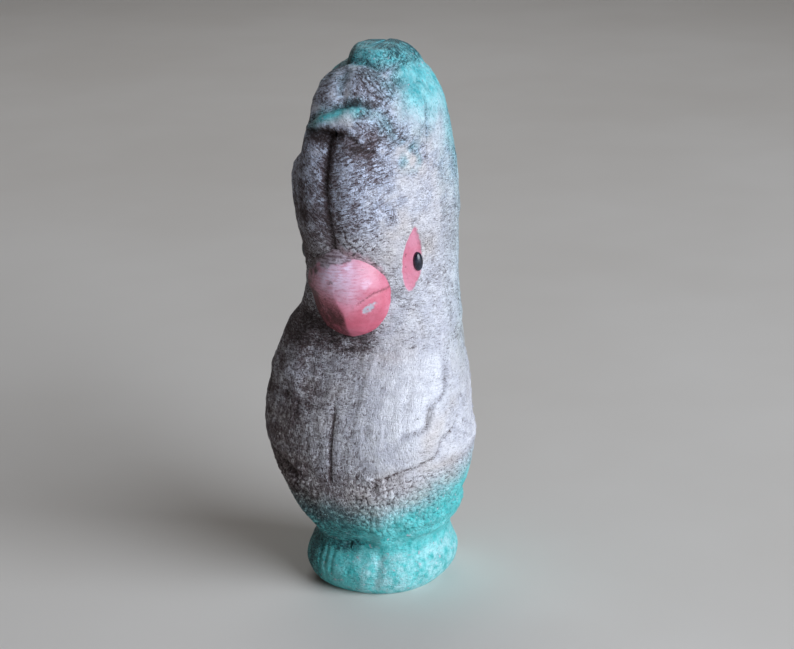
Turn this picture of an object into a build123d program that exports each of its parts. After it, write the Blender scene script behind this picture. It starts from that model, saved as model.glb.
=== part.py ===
"""Hollow plaster figure of a standing crested parrot on a round foot.

Two press-moulded half shells meet on the median plane and are luted together
by a bead of plaster slip inside the seam. A plaster plug closes the foot, the
beak is a separate casting set over the front seam on a peg, and two glossy
eyes sit in sockets.

Frame: millimetres, +Z up, origin on the floor at the centre of the foot,
the bird faces -Y and its left side is +X.
"""
import math
import os

from build123d import *

# ---------------------------------------------------------------- dimensions
HEIGHT = 180.0            # floor to the top of the crest
WALL = 5.0                # plaster wall of the half shells
SECTION_POWER = 2.3       # horizontal sections are super-ellipses of this power
SECTION_POINTS = 28       # points on each closed section spline

# outer form: height, half width, reach to the front, reach to the back,
# fore-and-aft place of the widest point
OUTER = [
    (0.0, 20.6, 23.6, 21.8, -0.6),
    (4.0, 23.7, 27.2, 23.1, -1.1),
    (8.0, 24.5, 27.5, 23.2, -1.3),
    (12.5, 23.4, 25.6, 22.4, -1.1),
    (17.0, 22.5, 24.6, 22.2, -0.8),
    (24.0, 24.4, 28.7, 24.4, -0.8),
    (33.0, 28.0, 34.0, 27.2, -2.2),
    (44.0, 31.8, 36.6, 27.9, -5.2),
    (56.0, 34.4, 36.4, 27.2, -8.4),
    (68.0, 33.9, 33.4, 26.5, -8.2),
    (79.0, 31.3, 27.0, 26.2, -5.2),
    (88.0, 28.3, 22.9, 26.7, -1.8),
    (96.0, 25.5, 21.9, 28.2, 1.8),
    (106.0, 23.4, 23.5, 30.4, 6.0),
    (117.0, 23.0, 26.9, 31.4, 7.6),
    (128.0, 24.5, 29.5, 30.6, 5.8),
    (139.0, 24.4, 30.2, 29.8, 4.2),
    (150.0, 22.8, 28.2, 29.6, 4.6),
    (160.0, 20.0, 24.9, 29.0, 6.0),
    (168.0, 17.2, 19.0, 25.8, 6.4),
    (174.0, 12.8, 11.2, 21.4, 6.4),
    (178.0, 9.6, 6.4, 18.0, 5.4),
    (HEIGHT, 7.0, 4.8, 15.0, 4.6),
]

# foot plug: a flange in a rebate and a spigot in the pour opening
PLUG_FLANGE_R = 16.5
PLUG_FLANGE_H = 4.0
PLUG_SPIGOT_R = 13.5
PLUG_SPIGOT_H = 4.0
PLUG_GAP = 0.05
FOOT_Y = 0.0              # centre of the plug, fore and aft
CAVITY_FLOOR = PLUG_FLANGE_H + 4.0

# seam: bead of slip along the inside, shallow groove along the outside
SEAM_BEAD_HALF_WIDTH = 4.0
SEAM_BEAD_DEPTH = 2.2
SEAM_GROOVE_HALF_WIDTH = 0.7
SEAM_GROOVE_DEPTH = 0.9

# eyes: oval cabochons, a straight stub in a socket and a rounded face
EYE_HALF_WIDTH = 2.45
EYE_HALF_HEIGHT = 3.2
EYE_LENGTH = 4.2
EYE_ROUNDING = 1.25
EYE_PROUD = 1.2           # how far the face stands out of the cheek
EYE_GAP = 0.05
EYE_ON_CHEEK = (20.6, -10.4, 114.0)
EYE_NORMAL = (0.932, -0.345, -0.105)

# beak: hooked casting over the front seam, tip tucked towards the breast:
# height, half width, where its side meets the face, where its ridge runs
BEAK = [
    (90.6, 2.6, -21.6, -23.0),
    (92.2, 6.6, -21.2, -24.9),
    (94.5, 9.8, -20.2, -27.0),
    (98.0, 12.2, -19.0, -29.6),
    (102.8, 14.0, -17.9, -31.6),
    (107.0, 14.7, -17.7, -32.4),
    (111.8, 13.4, -19.6, -32.1),
    (115.0, 11.0, -22.0, -31.2),
    (117.5, 7.0, -24.6, -29.8),
    (119.2, 2.6, -26.4, -28.2),
]
BEAK_BACK = 5.0           # how far the casting is carried into the face
BEAK_PEG_R = 4.0
BEAK_PEG_GAP = 0.05
BEAK_PEG_Z = 106.5
BEAK_PEG_IN = -20.2       # inner end of the peg, in the thickness of the wall

# relief: lines cut into the outside of each half, traced in the side view (y, z)
RELIEF_DEPTH = 1.0
RELIEF_LINES = [
    # half width, then the run of the line
    # under the lip of the lower crest tier
    (1.5, [(-27.0, 161.0), (-22.0, 162.8), (-19.2, 161.6), (-17.6, 156.6), (-14.4, 153.0),
           (-9.0, 151.8), (-4.2, 152.8), (0.0, 157.2), (2.2, 162.6)]),
    # under the lip of the middle crest tier
    (1.2, [(-15.0, 173.2), (-9.6, 173.0), (-8.4, 170.0), (-5.0, 167.9), (0.6, 168.3), (3.2, 171.4)]),
    # upper edge of the folded wing
    (0.7, [(-30.4, 60.0), (-27.1, 62.0), (-24.5, 63.2), (-22.2, 67.0), (-20.0, 69.4), (-14.7, 72.5),
           (-11.6, 77.2), (-8.0, 81.4), (-3.0, 86.0), (4.0, 89.0), (12.0, 88.4), (19.0, 84.0)]),
    # lower edge of the folded wing
    (0.7, [(-34.4, 48.0), (-32.1, 48.1), (-28.7, 50.8), (-24.4, 51.2), (-22.4, 53.0), (-20.4, 56.4),
           (-16.9, 59.0), (-10.0, 59.4), (-2.0, 59.6), (8.0, 61.6), (16.0, 66.0), (21.0, 72.0)]),
]

# outer seam groove: runs of height where it is open at the front
SEAM_GROOVES = [(41.0, 71.0), (119.4, 156.0)]


def section_points(half_width, front, back, widest_y):
    """Points of one closed section, symmetric about the median plane."""
    points = []
    power = 2.0 / SECTION_POWER
    for i in range(SECTION_POINTS):
        t = 2.0 * math.pi * (i + 0.5) / SECTION_POINTS
        s, c = math.sin(t), math.cos(t)
        x = half_width * math.copysign(abs(s) ** power, s)
        if c > 0:
            y = widest_y - (front + widest_y) * abs(c) ** power
        else:
            y = widest_y + (back - widest_y) * abs(c) ** power
        points.append((x, y))
    return points


def strip_points(run, half_width):
    """Outline of a band that follows a run of points in the side view."""
    left, right = [], []
    for i, (y, z) in enumerate(run):
        y0, z0 = run[max(i - 1, 0)]
        y1, z1 = run[min(i + 1, len(run) - 1)]
        length = math.hypot(y1 - y0, z1 - z0)
        ny, nz = -(z1 - z0) / length * half_width, (y1 - y0) / length * half_width
        left.append((y + ny, z + nz))
        right.append((y - ny, z - nz))
    return left + right[::-1]


def outer_at(z):
    """The outer table at any height, by straight interpolation."""
    for low, high in zip(OUTER, OUTER[1:]):
        if low[0] <= z <= high[0]:
            t = (z - low[0]) / (high[0] - low[0])
            return [a + (b - a) * t for a, b in zip(low[1:], high[1:])]
    return list(OUTER[-1][1:])


# hollow: height and how far each section is set in from the outer form
HOLLOW = [
    (CAVITY_FLOOR, None),
    (13.0, 7.0),
    (18.0, 6.0),
    (25.0, 5.4),
    (33.0, WALL),
    (44.0, WALL),
    (56.0, WALL),
    (68.0, WALL),
    (79.0, WALL),
    (88.0, WALL),
    (96.0, WALL),
    (106.0, WALL),
    (117.0, WALL),
    (128.0, WALL),
    (139.0, WALL),
    (150.0, 5.6),
    (158.0, 7.6),
    (164.0, 10.6),
    (168.0, 13.0),
]


def hollow_sections(extra):
    """Sections of the hollow, each set in by a further amount."""
    rows = []
    for z, inset in HOLLOW:
        if inset is None:
            r = PLUG_SPIGOT_R - extra
            rows.append((z, r, r - FOOT_Y, r + FOOT_Y, FOOT_Y))
        else:
            a, f, b, yc = outer_at(z)
            k = inset + extra
            rows.append((z, a - k, f - k, b - k, yc))
    return rows


# ------------------------------------------------------- whole forms, in solid
with BuildPart() as body_form:
    for z, a, f, b, yc in OUTER:
        with BuildSketch(Plane.XY.offset(z)):
            with BuildLine():
                Spline(*section_points(a, f, b, yc), periodic=True)
            make_face()
    loft()

with BuildPart() as hollow_form:
    for z, a, f, b, yc in hollow_sections(0.0):
        with BuildSketch(Plane.XY.offset(z)):
            with BuildLine():
                Spline(*section_points(a, f, b, yc), periodic=True)
            make_face()
    loft()

# the same hollow set in by the depth of the slip bead, and stopped short of its top
with BuildPart() as bead_core:
    for z, a, f, b, yc in hollow_sections(SEAM_BEAD_DEPTH)[:-1]:
        with BuildSketch(Plane.XY.offset(z)):
            with BuildLine():
                Spline(*section_points(a, f, b, yc), periodic=True)
            make_face()
    loft()

# the outer form set in by the depth of the relief
with BuildPart() as relief_floor:
    for z, a, f, b, yc in OUTER[5:-1]:
        with BuildSketch(Plane.XY.offset(z)):
            with BuildLine():
                Spline(*section_points(a - RELIEF_DEPTH, f - RELIEF_DEPTH,
                                       b - RELIEF_DEPTH, yc), periodic=True)
            make_face()
    loft()

# what the relief lines take out of the left half
with BuildPart() as left_relief:
    for half_width, run in RELIEF_LINES:
        with BuildSketch(Plane.YZ.offset(1.4)):
            with BuildLine():
                Polyline(*strip_points(run, half_width), close=True)
            make_face()
        extrude(amount=60.0)
    add(relief_floor.part, mode=Mode.SUBTRACT)

with BuildPart() as right_relief:
    mirror(left_relief.part, about=Plane.YZ)

# the beak carried back into the face, before it is cut to the face
with BuildPart() as beak_form:
    for z, w, side, ridge in BEAK:
        points = []
        for i in range(20):
            t = 2.0 * math.pi * (i + 0.5) / 20
            s, c = math.sin(t), math.cos(t)
            reach = side - ridge if c > 0 else BEAK_BACK
            points.append((w * s, side - reach * c))
        with BuildSketch(Plane.XY.offset(z)):
            with BuildLine():
                Spline(*points, periodic=True)
            make_face()
    loft()

# peg of the beak, and the socket it takes across both halves
with BuildPart() as peg_form:
    with BuildSketch(Plane.XZ.offset(-BEAK_PEG_IN)):
        with Locations((0, BEAK_PEG_Z)):
            Circle(BEAK_PEG_R)
    extrude(amount=7.0)

with BuildPart() as peg_socket:
    with BuildSketch(Plane.XZ.offset(-BEAK_PEG_IN - BEAK_PEG_GAP)):
        with Locations((0, BEAK_PEG_Z)):
            Circle(BEAK_PEG_R + BEAK_PEG_GAP)
    extrude(amount=7.0)

# cabochon on its own plane, its seat under the surface of the cheek
eye_plane = Plane(
    origin=Vector(*EYE_ON_CHEEK) - Vector(*EYE_NORMAL).normalized() * (EYE_LENGTH - EYE_PROUD),
    x_dir=(0.345, 0.932, 0.0),
    z_dir=EYE_NORMAL,
)
eye_socket_plane = eye_plane.offset(-EYE_GAP)

with BuildPart() as left_eye_socket:
    with BuildSketch(eye_socket_plane):
        Ellipse(EYE_HALF_WIDTH + EYE_GAP, EYE_HALF_HEIGHT + EYE_GAP)
    extrude(amount=EYE_LENGTH + 2.0)

with BuildPart() as right_eye_socket:
    mirror(left_eye_socket.part, about=Plane.YZ)

# seam groove along the front, in the runs where it is open
with BuildPart() as groove_form:
    for low, high in SEAM_GROOVES:
        steps = 8
        edge = []
        for i in range(steps + 1):
            z = low + (high - low) * i / steps
            swell = math.sin(math.pi * i / steps) ** 0.5
            edge.append((-outer_at(z)[1] - 0.6 + (SEAM_GROOVE_DEPTH + 0.6) * swell, z))
        with BuildSketch(Plane.YZ):
            with BuildLine():
                Spline(*edge)
                Polyline(edge[-1], (edge[-1][0] - 12.0, high), (edge[-1][0] - 12.0, low), edge[0])
            make_face()
        extrude(amount=SEAM_GROOVE_HALF_WIDTH, both=True)

# ------------------------------------------------------------------- pieces
with BuildPart() as left_shell:
    add(body_form.part)
    split(bisect_by=Plane.YZ, keep=Keep.TOP)
    add(left_relief.part, mode=Mode.SUBTRACT)
    add(hollow_form.part, mode=Mode.SUBTRACT)
    with Locations((0, FOOT_Y, 0)):
        Cylinder(PLUG_FLANGE_R, PLUG_FLANGE_H, align=(Align.CENTER, Align.CENTER, Align.MIN),
                 mode=Mode.SUBTRACT)
        Cylinder(PLUG_SPIGOT_R, CAVITY_FLOOR, align=(Align.CENTER, Align.CENTER, Align.MIN),
                 mode=Mode.SUBTRACT)
    add(peg_socket.part, mode=Mode.SUBTRACT)
    add(groove_form.part, mode=Mode.SUBTRACT)
    add(left_eye_socket.part, mode=Mode.SUBTRACT)
left_shell.part.label = "left_shell"

with BuildPart() as right_shell:
    add(body_form.part)
    split(bisect_by=Plane.YZ, keep=Keep.BOTTOM)
    add(right_relief.part, mode=Mode.SUBTRACT)
    add(hollow_form.part, mode=Mode.SUBTRACT)
    with Locations((0, FOOT_Y, 0)):
        Cylinder(PLUG_FLANGE_R, PLUG_FLANGE_H, align=(Align.CENTER, Align.CENTER, Align.MIN),
                 mode=Mode.SUBTRACT)
        Cylinder(PLUG_SPIGOT_R, CAVITY_FLOOR, align=(Align.CENTER, Align.CENTER, Align.MIN),
                 mode=Mode.SUBTRACT)
    add(peg_socket.part, mode=Mode.SUBTRACT)
    add(groove_form.part, mode=Mode.SUBTRACT)
    add(right_eye_socket.part, mode=Mode.SUBTRACT)
right_shell.part.label = "right_shell"

with BuildPart() as seam_slip:
    add(hollow_form.part)
    with Locations((0, 0, CAVITY_FLOOR + 1.0)):
        Box(2 * SEAM_BEAD_HALF_WIDTH, 120.0, HEIGHT, align=(Align.CENTER, Align.CENTER, Align.MIN),
            mode=Mode.INTERSECT)
    add(bead_core.part, mode=Mode.SUBTRACT)
seam_slip.part.label = "seam_slip"

with BuildPart() as base_plug:
    with Locations((0, FOOT_Y, 0)):
        Cylinder(PLUG_FLANGE_R - PLUG_GAP, PLUG_FLANGE_H,
                 align=(Align.CENTER, Align.CENTER, Align.MIN))
    with Locations((0, FOOT_Y, PLUG_FLANGE_H)):
        Cylinder(PLUG_SPIGOT_R - PLUG_GAP, PLUG_SPIGOT_H,
                 align=(Align.CENTER, Align.CENTER, Align.MIN))
base_plug.part.label = "base_plug"

with BuildPart() as beak:
    add(beak_form.part)
    add(body_form.part, mode=Mode.SUBTRACT)
    add(peg_form.part)
beak.part.label = "beak"

with BuildPart() as left_eye:
    with BuildSketch(eye_plane):
        Ellipse(EYE_HALF_WIDTH, EYE_HALF_HEIGHT)
    extrude(amount=EYE_LENGTH)
    fillet(left_eye.faces().sort_by(Axis((0, 0, 0), EYE_NORMAL))[-1].edges(), radius=EYE_ROUNDING)
left_eye.part.label = "left_eye"

with BuildPart() as right_eye:
    mirror(left_eye.part, about=Plane.YZ)
right_eye.part.label = "right_eye"

# ------------------------------------------------------------------- export
os.makedirs("parts", exist_ok=True)
export_step(left_shell.part, "parts/left_shell.step")
export_step(right_shell.part, "parts/right_shell.step")
export_step(seam_slip.part, "parts/seam_slip.step")
export_step(base_plug.part, "parts/base_plug.step")
export_step(beak.part, "parts/beak.step")
export_step(left_eye.part, "parts/left_eye.step")
export_step(right_eye.part, "parts/right_eye.step")

for piece in (left_shell, right_shell, seam_slip, base_plug, beak, left_eye, right_eye):
    box = piece.part.bounding_box()
    print(f"{piece.part.label:12s} {len(piece.part.solids())} solid "
          f"{piece.part.volume:9.1f} mm3 valid {piece.part.is_valid} "
          f"x {box.min.X:.1f}..{box.max.X:.1f} y {box.min.Y:.1f}..{box.max.Y:.1f} "
          f"z {box.min.Z:.1f}..{box.max.Z:.1f}")
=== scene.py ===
"""Looks of a hollow plaster figure of a crested parrot on a round foot.

Frame: metres in the scene, millimetres in the tables, +Z up, the bird faces -Y
and its left side is +X. The two half shells meet on the plane X = 0.
"""

import math

import bpy
import numpy as np
from mathutils import Matrix, Vector


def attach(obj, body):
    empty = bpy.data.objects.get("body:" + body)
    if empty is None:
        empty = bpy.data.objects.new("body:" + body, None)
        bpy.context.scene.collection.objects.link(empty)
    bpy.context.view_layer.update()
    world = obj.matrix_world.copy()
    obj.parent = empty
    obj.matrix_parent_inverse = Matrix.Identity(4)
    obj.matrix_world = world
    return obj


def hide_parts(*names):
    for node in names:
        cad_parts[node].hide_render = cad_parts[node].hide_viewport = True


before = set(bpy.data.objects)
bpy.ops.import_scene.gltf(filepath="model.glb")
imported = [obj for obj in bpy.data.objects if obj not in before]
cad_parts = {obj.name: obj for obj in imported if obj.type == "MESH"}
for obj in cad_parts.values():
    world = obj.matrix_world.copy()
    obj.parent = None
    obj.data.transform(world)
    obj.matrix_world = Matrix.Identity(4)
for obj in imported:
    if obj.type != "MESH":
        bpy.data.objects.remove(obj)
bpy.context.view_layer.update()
MM = 0.001

# ----------------------------------------------------------------- outer form
# height, half width, reach to the front, reach to the back, y of widest point
FORM = np.array([
    [0, 20.6, 23.6, 21.8, -0.6], [1.5, 22.2, 25.6, 22.6, -0.8], [4, 23.7, 27.2, 23.1, -1.1],
    [7.5, 24.5, 27.6, 23.2, -1.3], [11, 23.9, 26.4, 22.7, -1.2], [14, 22.9, 24.9, 22.2, -1.0],
    [17, 22.5, 24.6, 22.2, -0.8], [20, 23.0, 26.0, 23.0, -0.6], [25, 24.8, 29.4, 24.8, -0.8],
    [33, 28.0, 34.0, 27.2, -2.2], [44, 31.8, 36.6, 27.9, -5.2], [56, 34.4, 36.4, 27.2, -8.4],
    [68, 33.9, 33.4, 26.5, -8.2], [79, 31.3, 27.0, 26.2, -5.2], [88, 28.3, 22.9, 26.7, -1.8],
    [96, 25.5, 21.9, 28.2, 1.8], [106, 23.4, 23.5, 30.4, 6.0], [117, 23.0, 26.9, 31.4, 7.6],
    [128, 24.5, 29.5, 30.6, 5.8], [139, 24.4, 30.2, 29.8, 4.2], [150, 22.8, 28.2, 29.6, 4.6],
    [160, 20.0, 24.9, 29.0, 6.0], [168, 17.2, 19.0, 25.8, 6.4], [174, 12.8, 11.2, 21.4, 6.4],
    [178, 9.6, 6.4, 18.0, 5.4], [180, 7.0, 4.8, 15.0, 4.6]])
POWER = 2.0 / 2.3
TOP = 180.0


def pchip(xs, ys, x):
    """Monotone cubic interpolation."""
    xs, ys, x = np.asarray(xs, float), np.asarray(ys, float), np.asarray(x, float)
    h = np.diff(xs)
    d = np.diff(ys) / h
    m = np.zeros_like(ys)
    m[0], m[-1] = d[0], d[-1]
    for i in range(1, len(xs) - 1):
        if d[i - 1] * d[i] > 0:
            w1, w2 = 2 * h[i] + h[i - 1], h[i] + 2 * h[i - 1]
            m[i] = (w1 + w2) / (w1 / d[i - 1] + w2 / d[i])
    i = np.clip(np.searchsorted(xs, x) - 1, 0, len(xs) - 2)
    t = np.clip((x - xs[i]) / h[i], 0.0, 1.0)
    t2, t3 = t * t, t * t * t
    return ((2 * t3 - 3 * t2 + 1) * ys[i] + (t3 - 2 * t2 + t) * h[i] * m[i]
            + (3 * t2 - 2 * t3) * ys[i + 1] + (t3 - t2) * h[i] * m[i + 1])


def form_at(z):
    """Half width, front, back and widest y of the outer form at height z."""
    return [pchip(FORM[:, 0], FORM[:, k], z) for k in (1, 2, 3, 4)]


def section(t, z):
    """x (never negative) and y of the outer form, t from 0 (front) to pi (back)."""
    a, f, b, yc = form_at(z)
    s, c = np.abs(np.sin(t)), np.cos(t)
    k = np.abs(c) ** POWER
    return a * s ** POWER, np.where(c > 0, yc - (f + yc) * k, yc + (b - yc) * k)


def ss(lo, hi, x):
    """Smooth step from 0 at lo to 1 at hi."""
    u = np.clip((np.asarray(x, float) - lo) / (hi - lo), 0.0, 1.0)
    return u * u * (3 - 2 * u)


def hump(lo, hi, fade, x):
    """1 between lo and hi, fading to 0 over fade outside them."""
    return ss(lo - fade, lo, x) * (1 - ss(hi, hi + fade, x))


_rng = np.random.RandomState(7)
_perm = _rng.permutation(4096)
_vals = _rng.rand(4096) * 2 - 1


def noise(x, y, seed=0):
    """Smooth lattice noise in two dimensions, from -1 to 1."""
    x, y = np.asarray(x, float), np.asarray(y, float)
    xi, yi = np.floor(x).astype(int), np.floor(y).astype(int)
    u, v = x - xi, y - yi
    u, v = u * u * (3 - 2 * u), v * v * (3 - 2 * v)

    def at(i, j):
        return _vals[_perm[(_perm[(i + 37 * seed) & 4095] + j) & 4095]]

    return ((at(xi, yi) * (1 - u) + at(xi + 1, yi) * u) * (1 - v)
            + (at(xi, yi + 1) * (1 - u) + at(xi + 1, yi + 1) * u) * v)


def fractal(x, y, seed=0, octaves=4):
    """Sum of noise at halving scales."""
    total, amp = 0.0, 1.0
    for k in range(octaves):
        total = total + amp * noise(x * 2 ** k, y * 2 ** k, seed + k)
        amp *= 0.5
    return total / 1.9


# ------------------------------------------------- unrolled coordinates (s, w)
# w: length along the mean profile from the floor; s: length round from the front seam
_z = np.linspace(0, TOP, 3601)
_a, _f, _b, _yc = form_at(_z)
_r = (_a + 0.5 * (_f + _b)) / 2
_w = np.concatenate([[0], np.cumsum(np.hypot(np.diff(_z), np.diff(_r)))])
W_TOP = _w[-1]
_tt = np.linspace(0, math.pi, 361)
_zt = np.linspace(0, TOP, 181)
_S = np.zeros((len(_zt), len(_tt)))
for _i, _zz in enumerate(_zt):
    _x, _y = section(_tt, np.full(len(_tt), _zz))
    _S[_i, 1:] = np.cumsum(np.hypot(np.diff(_x), np.diff(_y)))


def w_of(z):
    return np.interp(z, _z, _w)


def s_of(theta, z):
    """Signed length round from the front for an angle in degrees at a height."""
    i = min(max(int(z), 0), len(_zt) - 2)
    k = z - i
    t = math.radians(abs(theta))
    v = (1 - k) * np.interp(t, _tt, _S[i]) + k * np.interp(t, _tt, _S[i + 1])
    return math.copysign(v, theta)


def unroll(points, n=80):
    """A smooth run through (angle, height) points, in unrolled coordinates."""
    q = np.array([(s_of(th, z), w_of(z)) for th, z in points], float)
    d = np.concatenate([[0], np.cumsum(np.hypot(*np.diff(q, axis=0).T))])
    u = np.linspace(0, d[-1], n)
    return np.stack([pchip(d, q[:, 0], u), pchip(d, q[:, 1], u)], axis=1)


def measure(S, W, run):
    """Signed distance to a run (positive on its left) and place along it, 0 to 1."""
    best = np.full(S.shape, 1e9)
    side = np.ones(S.shape)
    place = np.zeros(S.shape)
    step = np.hypot(*np.diff(run, axis=0).T)
    total = step.sum()
    gone = 0.0
    for (ax, ay), (bx, by), length in zip(run[:-1], run[1:], step):
        dx, dy = bx - ax, by - ay
        u = np.clip(((S - ax) * dx + (W - ay) * dy) / (length * length + 1e-12), 0, 1)
        ex, ey = S - (ax + u * dx), W - (ay + u * dy)
        d = np.hypot(ex, ey)
        near = d < best
        best = np.where(near, d, best)
        side = np.where(near, np.where(dx * ey - dy * ex >= 0, 1.0, -1.0), side)
        place = np.where(near, (gone + u * length) / total, place)
        gone += length
    return best * side, place


def inside(S, W, ring):
    """Signed distance to a closed ring of unrolled points, positive inside."""
    best = np.full(S.shape, 1e9)
    odd = np.zeros(S.shape, bool)
    n = len(ring)
    for i in range(n):
        ax, ay = ring[i]
        bx, by = ring[(i + 1) % n]
        dx, dy = bx - ax, by - ay
        u = np.clip(((S - ax) * dx + (W - ay) * dy) / (dx * dx + dy * dy + 1e-12), 0, 1)
        best = np.minimum(best, np.hypot(S - ax - u * dx, W - ay - u * dy))
        cross = (ay > W) != (by > W)
        with np.errstate(divide="ignore", invalid="ignore"):
            xx = ax + (W - ay) / (by - ay if by != ay else 1e-12) * dx
        odd ^= cross & (S < xx)
    return np.where(odd, best, -best)


def closed_ring(points, n=72):
    """A smooth closed ring through (angle, height) points, unrolled."""
    q = np.array([(s_of(th, z), w_of(z)) for th, z in points], float)
    m = len(q)
    out = []
    per = n // m
    for i in range(m):
        p0, p1, p2, p3 = q[i - 1], q[i], q[(i + 1) % m], q[(i + 2) % m]
        for k in range(per):
            t = k / per
            out.append(0.5 * ((2 * p1) + (-p0 + p2) * t + (2 * p0 - 5 * p1 + 4 * p2 - p3) * t * t
                              + (-p0 + 3 * p1 - 3 * p2 + p3) * t ** 3))
    return np.array(out)


# ------------------------------------------------------------ moulded features
# runs are (angle from the front towards the bird's left in degrees, height)
TIER1_TOP = [(-46, 156.6), (-34, 158.6), (-26, 160.4), (-20, 162.0), (-9, 163.9), (0, 165.2), (10, 165.8), (20, 165.8),
             (29, 165.0), (39, 162.6), (47, 158.8), (55, 154.6), (62, 152.0)]
TIER1_UNDER = [(-44, 156.4), (-30, 157.8), (-13, 158.5), (-3, 158.6), (7, 158.3), (13, 156.9), (23, 154.4), (32, 152.4),
               (42, 150.6), (50, 149.4)]
TIER2_TOP = [(-72, 166.0), (-58, 170.0), (-44, 173.4), (-28, 175.6), (-12, 176.3), (6, 176.3), (22, 175.6),
             (38, 174.3), (50, 172.0), (60, 168.6), (70, 164.0)]
FLAP = [(56, 155.0), (62, 152.4), (68, 151.6), (74, 153.2), (78, 156.6), (80.5, 161.0), (82, 166.0), (82, 170.0)]
FLAP_R = [(-t, z) for t, z in FLAP][::-1]
WING_TOP = [(34, 58.8), (38, 60.0), (44, 61.2), (53, 62.2), (57, 64.2), (57.8, 66.8), (60, 69.0), (65, 70.8), (73, 72.0),
            (76, 74.4), (77.6, 77.5), (81, 81.0), (87, 84.0), (96, 87.6), (108, 90.4), (122, 90.6), (136, 86.6),
            (148, 78.0), (157, 66.0), (163, 52.0), (166, 41.0)]
WING_MID = [(19, 47.8), (27, 47.2), (34, 48.2), (42, 50.0), (50, 51.0), (59, 52.4), (65, 54.8), (68.5, 57.4), (73, 59.0),
            (79, 59.2), (84, 60.2), (88.5, 63.0), (91.5, 67.0), (93.5, 69.5), (97, 66.0), (101, 63.2), (106, 62.0),
            (111, 63.2), (115, 66.8), (117, 69.5), (120, 66.2), (125, 63.2), (130, 62.8), (135, 65.6), (138, 69.5),
            (141, 67.0), (146, 65.0), (152, 66.5)]
WING_LOW = [(73, 58.6), (80, 56.2), (90, 52.4), (102, 47.4), (116, 42.6), (132, 38.0), (148, 34.8), (160, 33.2)]
EYE_PATCH = [(58.5, 126.6), (62.5, 122.0), (64.3, 117.0), (63.2, 112.5), (58.0, 107.8), (51.0, 104.9),
             (47.0, 107.5), (46.5, 112.0), (48.5, 117.0), (52.5, 122.4)]
EYE_AT = (60.5, 114.2)


def mirrored(run):
    return [(-t, z) for t, z in run][::-1]


def ledge(sd, up, up_len, down, down_len, edge=0.45):
    """Relief across an edge: `up` on the positive side, `down` on the other."""
    k = 0.5 * (1 + np.tanh(sd / edge))
    return (up * k * np.exp(-np.maximum(sd, 0) / up_len)
            + down * (1 - k) * np.exp(-np.maximum(-sd, 0) / down_len))


def blur(field, n):
    """Box blur over 2n+1 grid cells each way."""
    out = field
    for axis in (0, 1):
        pad = [(n, n) if k == axis else (0, 0) for k in (0, 1)]
        c = np.cumsum(np.pad(out, pad, mode="edge"), axis=axis)
        c = np.concatenate([np.zeros_like(np.take(c, [0], axis=axis)), c], axis=axis)
        hi = np.take(c, np.arange(2 * n + 1, c.shape[axis]), axis=axis)
        lo = np.take(c, np.arange(0, c.shape[axis] - 2 * n - 1), axis=axis)
        out = (hi - lo) / (2 * n + 1)
    return out


def cells(S, W, cs, cw, seed, jitter=0.42):
    """Distances from a jittered lattice: nearest point, and how near the cell's edge is."""
    u, v = S / cs, W / cw
    iv = np.floor(v).astype(int)
    f1 = np.full(S.shape, 9.0)
    f2 = np.full(S.shape, 9.0)
    for dj in (-1, 0, 1):
        j = iv + dj
        off = 0.5 * (j % 2)
        iu = np.floor(u - off).astype(int)
        for di in (-1, 0, 1):
            i = iu + di
            h = _perm[(_perm[(i + 91 * seed) & 4095] + j) & 4095]
            px = i + off + 0.5 + jitter * _vals[h]
            py = j + 0.5 + jitter * _vals[(h + 1733) & 4095]
            d = np.hypot(u - px, v - py)
            f2 = np.where(d < f1, f1, np.minimum(f2, d))
            f1 = np.minimum(f1, d)
    return f1, f2 - f1


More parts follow.
